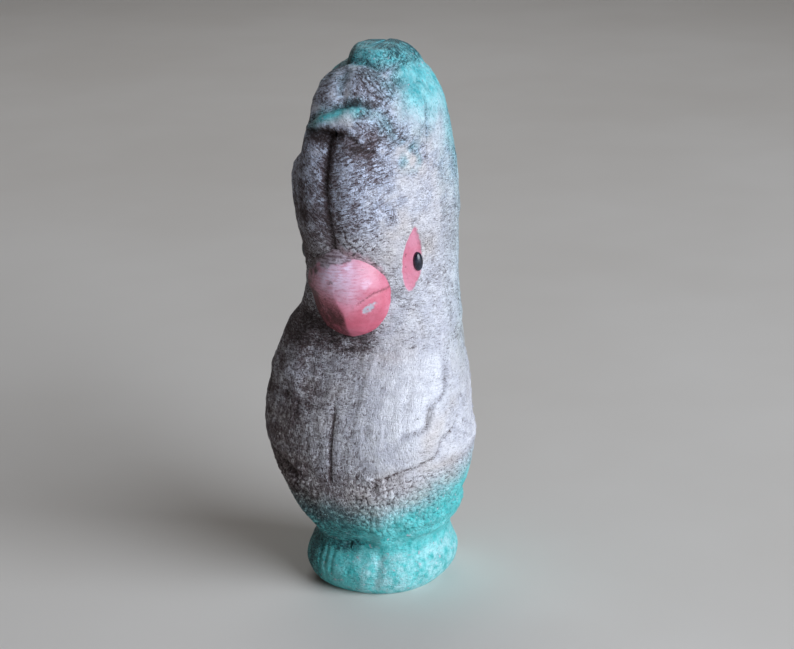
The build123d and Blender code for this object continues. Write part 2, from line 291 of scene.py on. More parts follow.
def relief(th, z, S, W, x, y):
    """Relief in mm along the normal, and the masks that the paint follows."""
    d = np.zeros(S.shape)
    a_s = np.abs(S)
    a_t = np.abs(th)

    def blob(t0, z0, ls, lw, amp):
        s0, w0 = s_of(t0, z0), w_of(z0)
        return amp * np.exp(-((S - s0) / ls) ** 2 - ((W - w0) / lw) ** 2)

    # slow unevenness of hand-pressed plaster
    d += 0.30 * fractal(S / 17, W / 17, 3, 3) + 0.18 * fractal(S / 5, W / 5, 4, 2)

    # forehead: two swelling lobes with a soft furrow between them, deepest at the top
    brow = hump(120.5, 157.0, 4.0, z)
    high = ss(131, 142, z)
    g = S + 0.8 + 1.2 * ss(126, 150, z) - 0.35 * noise(W / 9, 0 * W, 5)
    d += brow * (0.95 * np.exp(-((np.abs(g) - 8.0) / 5.5) ** 2) - (0.35 + 0.50 * high) * np.exp(-(g / (0.75 + 0.35 * high)) ** 2)
                 - 0.42 * np.exp(-(g / 2.8) ** 2))
    furrow = hump(116.5, 157.0, 3.0, z) * (0.5 + 0.5 * high) * (0.6 * np.exp(-(g / (0.8 + 0.4 * high)) ** 2) + 0.4 * np.exp(-(g / 2.4) ** 2))
    d += blob(-58, 139, 9.0, 9.0, 0.75)
    # the halves were not pressed quite alike
    d += -(1.5 * hump(155, 162, 4, z) + 1.9 * hump(163.5, 168, 2.5, z)) * ss(30, 52, -th) * (1 - ss(80, 110, -th))
    d += 1.0 * hump(172.3, 175, 2, z) * hump(-105, -40, 18, th) - 0.5 * hump(176.5, 178, 2, z) * hump(-105, -40, 18, th)
    d += 0.4 * hump(30, 40, 8, z) * hump(-95, -40, 20, th) + 1.8 * hump(76, 88, 7, z) * hump(-95, -35, 20, th)
    d += 0.8 * hump(46, 64, 8, z) * hump(-95, -50, 20, th) - 1.7 * hump(149, 160, 5, z) * hump(-92, -44, 12, th)
    d += -1.6 * hump(58, 84, 8, z) * hump(76, 124, 16, th) + 0.2 * hump(34, 40, 4, z) * hump(82, 124, 14, th)
    d += (1.6 * hump(22, 25.5, 3.5, z) - 0.8 * hump(12, 16.0, 3.0, z)) * hump(60, 120, 20, th)
    d += 0.3 * hump(178, 182, 2, z) * hump(-85, -5, 20, th) - 0.6 * hump(172, 176, 2, z) * hump(-95, -35, 15, th)
    # a shallow hollow runs beside each lobe, towards the temple
    d += -0.5 * hump(134, 152, 8, z) * np.exp(-((a_s - 18.5) / 4.0) ** 2)
    # breast: a narrow sunk seam that wanders a little
    chest = hump(47.0, 66.0, 6.0, z)
    cs = S - 0.35 * noise(W / 5, 0 * W, 6)
    d += chest * (-0.48 * np.exp(-(cs / 0.65) ** 2) + 0.2 * np.exp(-((a_s - 4.0) / 3.0) ** 2))
    # the rest of the seam shows as a faint line
    faint = (1 - brow) * (1 - chest) * ss(20, 26, z) * (1 - ss(158, 162, z))
    d += -0.05 * faint * np.exp(-(a_s / 0.45) ** 2)

    # crest: three tiers, each set back from the one below
    u1, pu = measure(S, W, unroll(TIER1_UNDER))
    t1, p1 = measure(S, W, unroll(TIER1_TOP))
    t2, p2 = measure(S, W, unroll(TIER2_TOP))
    fu = ss(0.06, 0.32, pu) * (1 - ss(0.66, 1, pu))
    f1 = ss(0.03, 0.26, p1) * (1 - ss(0.74, 1, p1))
    f2 = ss(0, 0.16, p2) * (1 - ss(0.8, 1, p2))
    # plumes hang over each edge
    ragged = 0.6 * noise(S / 1.8, W / 6.0, 27) + 0.25 * noise(S / 0.9, W / 2.5, 37)
    # lower tier: a rounded roll over the forehead, undercut on the bird's right
    rightward = 1 - ss(-4, 9, th)
    q = np.clip(u1 / np.maximum(u1 - t1, 0.5), 0, 1)
    roll = np.sin(math.pi * q) ** 0.6 * ss(-0.6, 0.8, u1) * ss(-0.8, 0.8, -t1)
    d += f1 * np.sqrt(fu) * (0.95 + 0.3 * rightward) * (1 - 0.9 * ss(20, 40, -th)) * roll * (1 + 0.3 * noise(S / 3.2, W / 8, 38))
    d += fu * -(0.7 + 1.6 * rightward) * (1 - ss(-0.5, 0.5, u1 + ragged)) * np.exp(np.minimum(u1, 0) / 4.6)
    # middle tier: rises out of a valley behind the roll and rounds over at its top
    d += f1 * -(0.85 - 0.45 * ss(-6, 20, -th)) * ss(-0.8, 1.4, t1 + ragged) * np.exp(-np.maximum(t1, 0) / 3.4)
    q2 = np.clip(t1 / np.maximum(t1 - t2, 0.5), 0, 1)
    d += f2 * 1.6 * np.sin(math.pi * q2 ** 1.5) ** 0.7 * (t1 > 0) * (t2 < 0)
    # upper tier: a knob behind a last valley
    d += f2 * -1.5 * ss(-1.0, 1.4, t2 + ragged) * np.exp(-np.maximum(t2, 0) / 2.8)
    # painted shadow: a dark band under the roll, stronger on the bird's right, the side away from the light
    shadow_under_roll = fu * (0.40 + 0.60 * rightward) * np.exp(-((u1 + 2.2) / 2.4) ** 2)
    valley1 = f1 * np.exp(-((t1 - 1.2) / 1.3) ** 2)
    valley2 = f2 * np.exp(-((t2 - 1.4) / 1.3) ** 2)
    edge1 = 1.15 * f1 * np.exp(-((t1 + 1.0 + ragged) / 2.5) ** 2) * (1 - 0.8 * ss(32, 46, -th)) * (1 - 0.6 * ss(14, 28, th))
    edge2 = f2 * np.exp(-((t2 + 2.2 + ragged) / 3.2) ** 2)
    # a soft dip parts the middle tier
    front = hump(-58, 66, 14, th)
    dip_s = S - np.interp(z, [166.0, 173.0], [0.5, -2.9])
    dip = hump(166.5, 173.0, 2.5, z) * front * np.exp(-(dip_s / 2.2) ** 2)
    d += -1.0 * dip
    d += -0.15 * hump(160, 165, 1.5, z) * front * np.exp(-(g / 1.2) ** 2)
    # broad plumes sweep back over the crown
    plume = noise(S / 3.6 + 0.4 * noise(S / 6, W / 6, 39), (W + 0.5 * a_s) / 9.0, 51)
    d += 0.30 * plume * ss(166, 172, z)
    # the flaps on the sides of the crest
    flap = np.zeros(S.shape)
    for run in (FLAP, FLAP_R):
        sd, pl = measure(S, W, unroll(run))
        fade = ss(0, 0.22, pl) * (1 - ss(0.78, 1, pl))
        d += fade * ledge(sd + ragged, 0.55, 4.5, -0.7, 3.2, 1.5)
        slot = hump(156.5, 164.0, 4.0, z) * np.exp(-((sd + 0.8) / 1.9) ** 2)
        d += -0.40 * slot
        flap = np.maximum(flap, 0.5 * fade * np.exp(-((sd + ragged + 0.8) / 1.0) ** 2) + slot)

    # eyes: the patch is dished a little under a low brow
    patch = np.zeros(S.shape)
    for sign in (1, -1):
        ring = closed_ring([(sign * t, h) for t, h in EYE_PATCH])
        q = inside(S, W, ring)
        es, ew = s_of(sign * EYE_AT[0], EYE_AT[1]), w_of(EYE_AT[1])
        r2 = ((S - es) / 8.0) ** 2 + ((W - ew) / 11.0) ** 2
        d += 0.25 * np.exp(-r2)
        d += -0.42 * ss(-0.3, 1.3, q) + 0.16 * np.exp(-((q + 0.55) / 0.6) ** 2)
        patch = np.maximum(patch, ss(-0.22, 0.22, q + 0.22 * noise(S / 0.8, W / 0.8, 8)))

    # crossing lines between forehead and beak
    lines = hump(120.0, 128.5, 3.0, z) * hump(3.0, 12.0, 4.0, S)
    g1 = np.abs(((S * 0.78 + W * 0.62) / 1.9 + 0.7 * noise(S / 4, W / 4, 9)) % 1.0 - 0.5)
    g2 = np.abs(((S * 0.34 - W * 0.94) / 2.6 + 0.7 * noise(S / 4, W / 4, 10)) % 1.0 - 0.5)
    grid = np.maximum(ss(0.39, 0.5, g1), 0.7 * ss(0.42, 0.5, g2)) * lines * ss(-0.6, 0.3, noise(S / 2.5, W / 2.5, 26))
    d += -0.22 * grid

    # throat folds just under the beak
    fold = hump(86.5, 92.0, 2.0, z) * hump(-12, 40, 12, th)
    fold_n = noise(S / 4.5, (W - 0.3 * S) / 0.95, 11)
    d += -0.28 * fold * ss(0.05, 0.5, fold_n)

    # wings: soft coverts between an upper edge and a scalloped one, long feathers below them
    wing = np.zeros(S.shape)
    wing_line = np.zeros(S.shape)
    soft = 1 - 0.65 * hump(-105, -40, 14, th)
    calm = 1 - 0.85 * hump(102, 121, 8, a_t) + 0.6 * ss(126, 140, a_t)
    behind = ss(100, 128, a_t)
    broad = 0.8 + 1.7 * behind
    for mirror in (False, True):
        top, mid, low = (unroll(mirrored(r) if mirror else r, n) for r, n in ((WING_TOP, 150), (WING_MID, 150), (WING_LOW, 40)))
        side = (S < 0) if mirror else (S > 0)
        sd, pl = measure(S, W, top)
        pl = 1 - pl if mirror else pl
        fade = ss(0, 0.06, pl) * (1 - ss(0.9, 1, pl)) * (1 - 0.85 * hump(92, 120, 8, a_t)) * (1 + 1.1 * ss(122, 136, a_t))
        bumpy = 0.4 * noise(S / 3.0, W / 3.0, 12)
        d += fade * soft * (ledge(sd + bumpy, -0.60, 3.4, 0.48, 3.8, broad)
                            - 0.21 * (1 - hump(80, 112, 8, a_t)) * (1 - behind) * np.exp(-((sd + bumpy - 0.5) / 0.8) ** 2)
                            + 0.22 * np.exp(-((sd + bumpy + 1.8) / 1.2) ** 2))
        wing_line = np.maximum(wing_line, fade * (1 - 0.8 * hump(82, 112, 6, a_t)) * np.exp(-((sd + bumpy - 0.4) / 0.75) ** 2))
        s2, pl2 = measure(S, W, mid)
        pl2 = 1 - pl2 if mirror else pl2
        fade2 = ss(0, 0.07, pl2) * (1 - ss(0.93, 1, pl2)) * calm
        ridge = 1 - ss(62, 76, a_t)
        d += fade2 * soft * (ledge(s2 + bumpy, 0.45, 3.8, -0.50, 4.4, broad) - 0.28 * (1 - behind) * np.exp(-((s2 + bumpy + 0.5) / 0.8) ** 2)
                             + 0.42 * ridge * np.exp(-((s2 + bumpy + 3.0) / 1.2) ** 2))
        wing_line = np.maximum(wing_line, fade2 * np.exp(-((s2 + bumpy + 0.4) / 0.75) ** 2))
        s4, pl4 = measure(S, W, low)
        pl4 = 1 - pl4 if mirror else pl4
        fade4 = ss(0.52, 0.72, pl4) * (1 - ss(0.92, 1, pl4)) * 1.6
        d += fade4 * soft * (ledge(s4, 0.30, 3.5, -0.40, 3.5, 1.6))
        wing_line = np.maximum(wing_line, 0.9 * fade4 * np.exp(-((s4 + 0.3) / 0.75) ** 2))
        # long feathers, each lying over the one below it
        quill = side * ss(-0.4, 0.8, s4) * ss(-0.2, 1.0, -s2) * hump(98, 158, 9, a_t) * (1 - ss(66, 76, z))
        v = s4 / 4.3 + 0.06 * noise(S / 9, W / 9, 14)
        d += quill * soft * calm * (1.0 * (1 - v % 1.0) ** 1.4 - 0.36)
        wing_line = np.maximum(wing_line, 0.6 * quill * ss(0.82, 0.98, v % 1.0) * (s4 > 1.0))
        wing_line = wing_line * (1 - 0.8 * behind)
        wing = np.maximum(wing, side * ss(-1, 2, -sd) * ss(-1, 2, s2) * hump(30, 142, 10, a_t))

    # back: a furrow between the wing tips and broad tail feathers
    back = ss(128, 160, a_t)
    d += -0.8 * back * hump(40, 84, 8, z) * np.exp(-((180 - a_t) / 6.0) ** 2)
    tail = ss(142, 156, a_t) * hump(23.0, 34.0, 5.0, z)
    feather = np.abs((((180 - a_t) / 10.0) + 0.5) % 1.0 - 0.5)
    d += tail * (0.55 + 0.25 * np.cos(2 * math.pi * feather) - 0.75 * ss(0.40, 0.5, feather))

    # small irregular scales from the wings down to the waist
    scaly = hump(25.0, 45.0, 4.0, z) * (1 - tail) * (1 - 0.85 * wing) * ss(2, 16, a_t)
    c1, ce = cells(S + 0.6 * noise(S / 3, W / 3, 15), W + 0.4 * noise(S / 3, W / 3, 52), 2.3, 1.9, 16, 0.46)
    d += scaly * (0.16 - 0.44 * np.exp(-(ce / 0.2) ** 2) - 0.18 * c1 ** 2)
    scale_gap = scaly * np.exp(-(ce / 0.14) ** 2)

    # soft upright ranks of feathers on the breast
    upright = hump(30, 62, 8, z) * (1 - ss(36, 60, a_t)) * 0.9
    upright = np.maximum(upright, 0.45 * hump(62, 84, 8, z) * (1 - ss(46, 70, a_t)))
    d += 0.16 * hump(44, 86, 8, z) * (1 - ss(60, 90, a_t)) * noise(S / 2.4, W / 11, 30)

    # leaf-shaped tufts and a leg ridge at the front of the belly
    for sign in (1, -1):
        d += blob(sign * 19.5, 46.8, 2.4, 1.0, 0.95) + blob(sign * 28, 43.2, 1.5, 2.2, 0.9) - blob(sign * 24.5, 44.6, 0.9, 1.2, 0.8)
        leg = unroll([(sign * 31, 38), (sign * 29, 31), (sign * 26, 25), (sign * 25, 20)])
        sd, pl = measure(S, W, leg)
        d += 0.9 * np.exp(-(sd / 3.0) ** 2) * ss(0, 0.3, pl) * (1 - 0.3 * pl)
    # feet: the belly overhangs them in a slanting crease, lower on the bird's right
    ankle = unroll([(-178, 17.0), (-125, 16.5), (-95, 15.5), (-70, 14.8), (-42, 14.6), (-14, 15.2), (3, 16.2), (15, 17.2),
                    (26, 20.5), (42, 22.8), (64, 23.2), (82, 21.5), (100, 18.5), (125, 17.0), (178, 17.0)], 140)
    sd, pl = measure(S, W, ankle)
    shady = 1 - ss(10, 26, th)
    d += np.where(sd > 0, -(0.8 + 1.0 * shady) * np.exp(-np.maximum(sd, 0) / 5.0), 0) * ss(-0.6, 2.0, sd) * hump(-100, 105, 25, th)
    # painted shade: a dark band in the crease over the feet, on the front and the bird's right
    ankle_crease_shade = np.exp(-((sd - 1.2) / 1.6) ** 2) * hump(-100, 30, 18, th)
    d += blob(44, 12.0, 10.0, 6.0, 0.8) + blob(-8, 9.5, 10.5, 4.2, 1.0) + blob(-50, 9.5, 9.0, 5.0, 0.6)
    gap_s = S - np.interp(z, [2, 8, 15, 20], [s_of(18, 2), s_of(21, 8), s_of(22.5, 15), s_of(24, 20)])
    cleft = hump(3.0, 14.0, 3.5, z) * np.exp(-(gap_s / 1.7) ** 2)
    d += -0.75 * cleft
    for t0, amp in ((-26, 0.5), (-19, 0.45), (-12.5, 0.3), (52, 0.2), (66, 0.2)):
        d += -amp * np.exp(-((S - s_of(t0, 10) + 0.06 * (W - 10)) / 0.6) ** 2) * hump(7.5, 13.0, 3, z)

    # fine feather strokes: upright on the breast, slanting on the brow and the crest, level elsewhere
    plain = ss(19, 26, z) * (1 - patch)
    up_n = noise(S / 0.95 + 0.3 * noise(S / 3, W / 3, 35), W / 3.4, 18)
    lev_n = noise(S / 3.4, W / 1.05 + 0.3 * noise(S / 4, W / 4, 20), 19)
    rise_n = noise((S * 0.93 + W * 0.37) / 5.0, (W * 0.93 - S * 0.37) / 1.1, 22)
    fall_n = noise((S * 0.79 - W * 0.61) / 3.6, (W * 0.79 + S * 0.61) / 1.1, 23)
    crown = ss(154, 162, z)
    slant = hump(123, 154, 5, z) * (1 - ss(34, 60, a_t)) * 0.85
    to_left = ss(-4, 4, S)
    rise = slant * to_left + 0.85 * crown * (1 - to_left)
    fall = slant * (1 - to_left) + 0.85 * crown * to_left
    level = np.clip(1 - upright - rise - fall, 0, 1)
    stroke = (upright * up_n + rise * rise_n + fall * fall_n + level * lev_n) * plain * (1 - 0.6 * scaly)
    d += (0.13 + 0.12 * crown + 0.06 * slant) * stroke

    # chips and dents
    chip = ss(0.62, 0.75, noise(S / 2.3, W / 2.3, 24)) * ss(0.1, 0.5, noise(S / 9, W / 9, 25))
    d += -0.22 * chip * (1 - patch)

    # the pink of the beak is brushed a little way on to the face above it
    over = z - np.interp(np.abs(x), [0, 2.0, 5.4, 8.6, 11.4, 13.4, 14.5, 15.0], [120.9, 120.6, 119.3, 117.5, 115.0, 111.5, 107.0, 60.0])
    blush = (1 - ss(0.0, 2.6, 0.8 * over + 0.9 * noise(S / 1.3, W / 1.3, 36))) * ss(104, 110, z) * (1 - ss(13.5, 15.5, np.abs(x))) * (y < 0) * ss(-3.0, 4.0, x)
    joint = np.exp(-((over - 0.6) / 1.1) ** 2) * ss(3.0, 8.0, x) * ss(104, 110, z) * (1 - ss(14.5, 17.0, x)) * (y < 0)
    joint = joint * ss(-0.3, 0.5, noise(S / 1.1, W / 1.1, 41))

    hollow = np.clip((blur(d, 5) - d) / 0.6, -1, 1)
    return d, dict(patch=patch, wing_line=wing_line, grid=grid, scale_gap=scale_gap, stroke=stroke, edge1=edge1,
                   edge2=edge2, shadow_under_roll=shadow_under_roll, valley1=valley1, valley2=valley2, flap=flap, upright=upright, rise=rise,
                   fall=fall, hollow=hollow, chip=chip, fold=fold * ss(0.05, 0.5, fold_n), furrow=furrow,
                   chest=chest * np.exp(-(cs / 0.55) ** 2), cleft=cleft, wing=wing, scaly=scaly, blush=blush, dip=dip,
                   ankle=ankle_crease_shade, lip=f1 * np.sqrt(fu) * roll, joint=joint, pit=hump(117.0, 124.5, 2.5, z) * np.exp(-(g / 1.5) ** 2))


def paint(th, z, S, W, m):
    """Turquoise, soiling with painted shade, and warmth over the surface, each from 0 to 1; on the turquoise the third
    field instead pales the lit side of the foot, a painted light.
    """
    t = np.abs(th)
    n1 = fractal(S / 11, W / 11, 40, 3)
    n2 = fractal(S / 4, W / 4, 44, 3)
    n3 = fractal(S / 2.2, W / 2.2, 48, 2)
    # turquoise: foot and lower body, fading upwards, higher on the flanks and back
    edge = 34.8 + 6.6 * ss(30, 75, t) + 2.0 * ss(100, 150, t)
    low = 1 - ss(edge - 11.0, edge + 7.5, z + 3.2 * n1 + 1.6 * n2)
    # crest: strong on the top and the back of the head, thin over the tiers' edges
    top = ss(173.5, 177.5, z + 1.5 * n1)
    flank = ss(150, 168, z + 5 * n1) * ss(32, 74, t + 12 * n1) * 0.95
    rear = ss(74, 120, t + 8 * n1) * (0.26 + 0.64 * ss(126, 160, z + 6 * n1)) * ss(60, 104, z + 9 * n1)
    rims = np.maximum(np.clip(m["edge1"] * (0.92 + 0.5 * n2), 0, 1),
                      np.clip(0.6 * m["edge2"] * (0.45 + 0.55 * ss(12, 40, th)) + 0.45 * m["dip"], 0, 1) * np.clip(0.7 + 0.9 * n2, 0, 1))
    tips = 0.5 * hump(146, 154, 3, z) * hump(54, 66, 6, th) * np.clip(0.5 + 1.2 * n2, 0, 1)
    turq = np.clip(np.maximum.reduce([low, 0.95 * top, flank, rear, rims, tips]), 0, 1)
    turq = turq * (1 - m["patch"])
    # dirt and painted shade: darker in every hollow, dirt rubbed over the forehead and breast, and painted shade on the
    # bird's right side, the side away from the light, under the crest roll, under the beak and in the waist crease
    mottle = np.clip(0.75 + 0.6 * n2 + 0.25 * n1, 0.15, 1.3)
    near = ss(-172, -108, th)
    across = near * (1 - ss(-10, 52, th + 8 * n1))
    breast = near * (1 - ss(0, 29, th + 13 * n1 + 12 * n2))
    grime_and_shade = (0.20 * hump(128, 158, 7, z) * across * mottle
             + 0.20 * hump(132, 158, 7, z) * hump(-40, 38, 18, th) * mottle
             # dirt and painted shade on the bird's right half of the lower forehead
             + 0.34 * hump(116, 132, 5, z) * near * (1 - ss(-4, 9, th)) * mottle
             + 0.36 * hump(30, 90, 10, z) * breast * np.clip(0.9 + 0.35 * n2, 0, 1.2)
             # painted shade on the bird's right side of the breast
             + 0.22 * hump(40, 84, 10, z) * hump(-100, -24, 20, th) * mottle
             # dirt on the crest tiers, thickening towards the bird's right as painted shade
             + 0.36 * hump(166, 174, 2, z) * near * (1 - ss(20, 74, th + 6 * n1)) * mottle
             + 0.26 * hump(158, 166, 2, z) * near * (1 - ss(0, 60, th + 6 * n1)) * mottle
             # dirt on the top of the crest, which also darkens it as painted shade
             + 0.48 * ss(173, 177, z) * mottle
             # painted shade on the bird's right side of the head
             + 0.30 * hump(88, 122, 5, z) * near * (1 - ss(-40, -6, th))
             # painted shadow under the beak
             + 0.36 * hump(86.5, 93, 3, z) * hump(-34, 10, 14, th) * mottle
             # painted shade on the bird's right side of the belly and the foot, and in the waist crease
             + 0.15 * hump(18, 32, 5, z) * near * (1 - ss(-10, 30, th))
             + 0.62 * (1 - ss(13, 18, z)) * near * (1 - ss(-40, -14, th))
             + 0.34 * hump(15.5, 23, 3, z) * hump(-90, -2, 16, th) * mottle
             + 0.17 * hump(24, 47, 4, z) * mottle
             + 0.19 * hump(155, 172, 4, z) * hump(12, 60, 12, th) * mottle
             # painted shadow under the crest roll beside the furrow, on the bird's left
             + 0.20 * hump(150, 156, 3, z) * hump(2, 30, 8, th) * mottle
             + 0.18 * hump(88, 156, 6, z) * mottle + 0.06 * blur(m["wing"], 6) * mottle
             + 0.18 * ss(100, 140, t) * (0.45 + 0.55 * ss(56, 96, z)) * mottle
             # less of it on the lit side of the breast, a painted light
             + 0.10 * mottle * ss(12, 22, z) * (1 - 0.7 * hump(62, 94, 8, z) * hump(30, 70, 12, th)) + 0.02)
    grime_and_shade = np.clip(grime_and_shade * (1 - 0.62 * m["lip"] * hump(-32, 12, 8, th)), 0, 1)
    # darker lines: dirt in the wing lines, the crossing lines and the scale gaps; painted shadow under the crest roll
    # and painted shade in the waist crease; the valleys, dip, flaps, throat folds and the cleft between the feet darker
    # too
    lines = np.maximum.reduce([(0.22 - 0.10 * ss(100, 130, t)) * m["wing_line"] * np.clip(0.75 + 0.8 * n2, 0, 1), 0.85 * m["grid"],
                               0.18 * m["scale_gap"], 0.66 * m["shadow_under_roll"], 0.10 * m["valley1"], 0.06 * m["valley2"],
                               0.12 * m["flap"], 0.30 * m["fold"], 0.08 * m["cleft"], 0.10 * m["ankle"],
                               0.16 * m["dip"]])
    seam = 0.48 * m["furrow"] + 0.26 * m["chest"] + 0.45 * m["pit"] + 0.5 * m["joint"]
    dirt_and_shade = 0.45 * np.clip(m["hollow"], 0, 1) * (0.3 + grime_and_shade) * ss(14, 26, z) * (1 - 0.55 * ss(156, 162, z)) * (1 - 0.35 * ss(98, 126, t) * (1 - ss(88, 98, z))) + lines + seam + 0.92 * grime_and_shade
    # the eye patches are kept clean on the lit side; the patch on the bird's right keeps its painted shade
    dirt_and_shade = np.clip(dirt_and_shade, 0, 1) * (1 - 0.8 * m["patch"] * ss(-20, 20, th))
    # less on the turquoise of the lit side, a painted light
    dirt_and_shade = dirt_and_shade * (1 - 0.5 * low * ss(0, 30, th) * (1 - np.clip(lines, 0, 1)))
    # warmer on the cheeks and wings, cooler elsewhere; on the turquoise it rises on the lit side of the foot, where it
    # pales the turquoise as painted light
    foot_and_crest_band = 1 - ss(13, 18, z) + ss(150, 160, z) * 0.25
    tone_and_lit_side = np.clip(np.where(low > 0.5, -0.2 + 0.25 * n1 + 1.0 * foot_and_crest_band * ss(-18, 20, th), 0.36 + 0.45 * n1) + 0.24 * hump(118, 156, 8, z) * hump(40, 74, 12, t)
                   + 0.16 * blur(m["wing"], 6) + 0.3 * hump(34, 48, 5, z) * hump(15, 80, 15, t) + 0.2 * ss(120, 150, t), 0, 1)
    return turq, dirt_and_shade, tone_and_lit_side


# ------------------------------------------------------------------ half shells
NU, NV, CAP, NI = 216, 400, 10, 18
PLUG_FLANGE, PLUG_SPIGOT, PLUG_H, FLOOR_Z = 16.5, 13.5, 4.0, 8.0
HOLLOW_TOP = 168.0
INSET = np.array([[8.0, 11.0], [13.0, 7.0], [18.0, 6.0], [25.0, 5.4], [33.0, 5.2], [139.0, 5.2],
                  [150.0, 5.8], [158.0, 7.6], [164.0, 10.6], [168.0, 13.0]])


def grid_of_half(sign):
    """Positions, angles and unrolled places of one half's outer surface."""
    z_rows = np.interp(np.linspace(0, W_TOP, NV + 1), _w, _z)
    t_dense = np.linspace(0, math.pi, 721)
    th = np.zeros((NV + 1, NU + 1))
    S = np.zeros_like(th)
    weight = 1.25 - 0.55 * ss(1.9, 2.6, 0.5 * (t_dense[1:] + t_dense[:-1]))
    for r, z in enumerate(z_rows):
        x, y = section(t_dense, np.full(len(t_dense), z))
        step = np.hypot(np.diff(x), np.diff(y))
        length = np.concatenate([[0], np.cumsum(step)])
        share = np.concatenate([[0], np.cumsum(step * weight)])
        u = np.linspace(0, share[-1], NU + 1)
        th[r] = np.interp(u, share, t_dense)
        S[r] = np.interp(u, share, length)
    Z = np.repeat(z_rows[:, None], NU + 1, axis=1)
    X, Y = section(th, Z)
    X[:, 0] = 0.0
    X[:, -1] = 0.0
    return sign * X, Y, Z, sign * np.degrees(th), sign * S, w_of(Z)


def normals_of(X, Y, Z, sign):
    """Outward unit normals of the grid."""
    du = [np.gradient(v, axis=1) for v in (X, Y, Z)]
    dv = [np.gradient(v, axis=0) for v in (X, Y, Z)]
    n = np.stack([du[1] * dv[2] - du[2] * dv[1], du[2] * dv[0] - du[0] * dv[2],
                  du[0] * dv[1] - du[1] * dv[0]], axis=-1) * sign
    n[:, 0, 0] = 0.0
    n[:, -1, 0] = 0.0
    return n / (np.linalg.norm(n, axis=-1, keepdims=True) + 1e-12)


def fields_of_half(sign):
    """Relief and paint of one half's outer surface."""
    X, Y, Z, TH, S, W = GRIDS[sign]
    d, m = relief(TH, Z, S, W, X, Y)
    turq, dirt_and_shade, tone_and_lit_side = paint(TH, Z, S, W, m)
    return dict(d=d * ss(0.6, 5.0, Z) * (1 - 0.75 * ss(176.5, TOP, Z)), turquoise=turq, dirt_and_shade=dirt_and_shade, tone_and_lit_side=tone_and_lit_side,
                pink=np.maximum(m["patch"], 0.5 * m["blush"]), upright=m["upright"], rise=m["rise"], fall=m["fall"])


GRIDS = {sign: grid_of_half(sign) for sign in (1, -1)}
HALVES = {sign: fields_of_half(sign) for sign in (1, -1)}
# the halves agree where they meet at the back
for _key in HALVES[1]:
    _both = 0.5 * (HALVES[1][_key][:, -1] + HALVES[-1][_key][:, -1])
    for _sign in (1, -1):
        _f = HALVES[_sign][_key]
        _off = (_both - _f[:, -1])[:, None]
        HALVES[_sign][_key] = _f + _off * ss(152, 180, np.abs(GRIDS[_sign][3]))


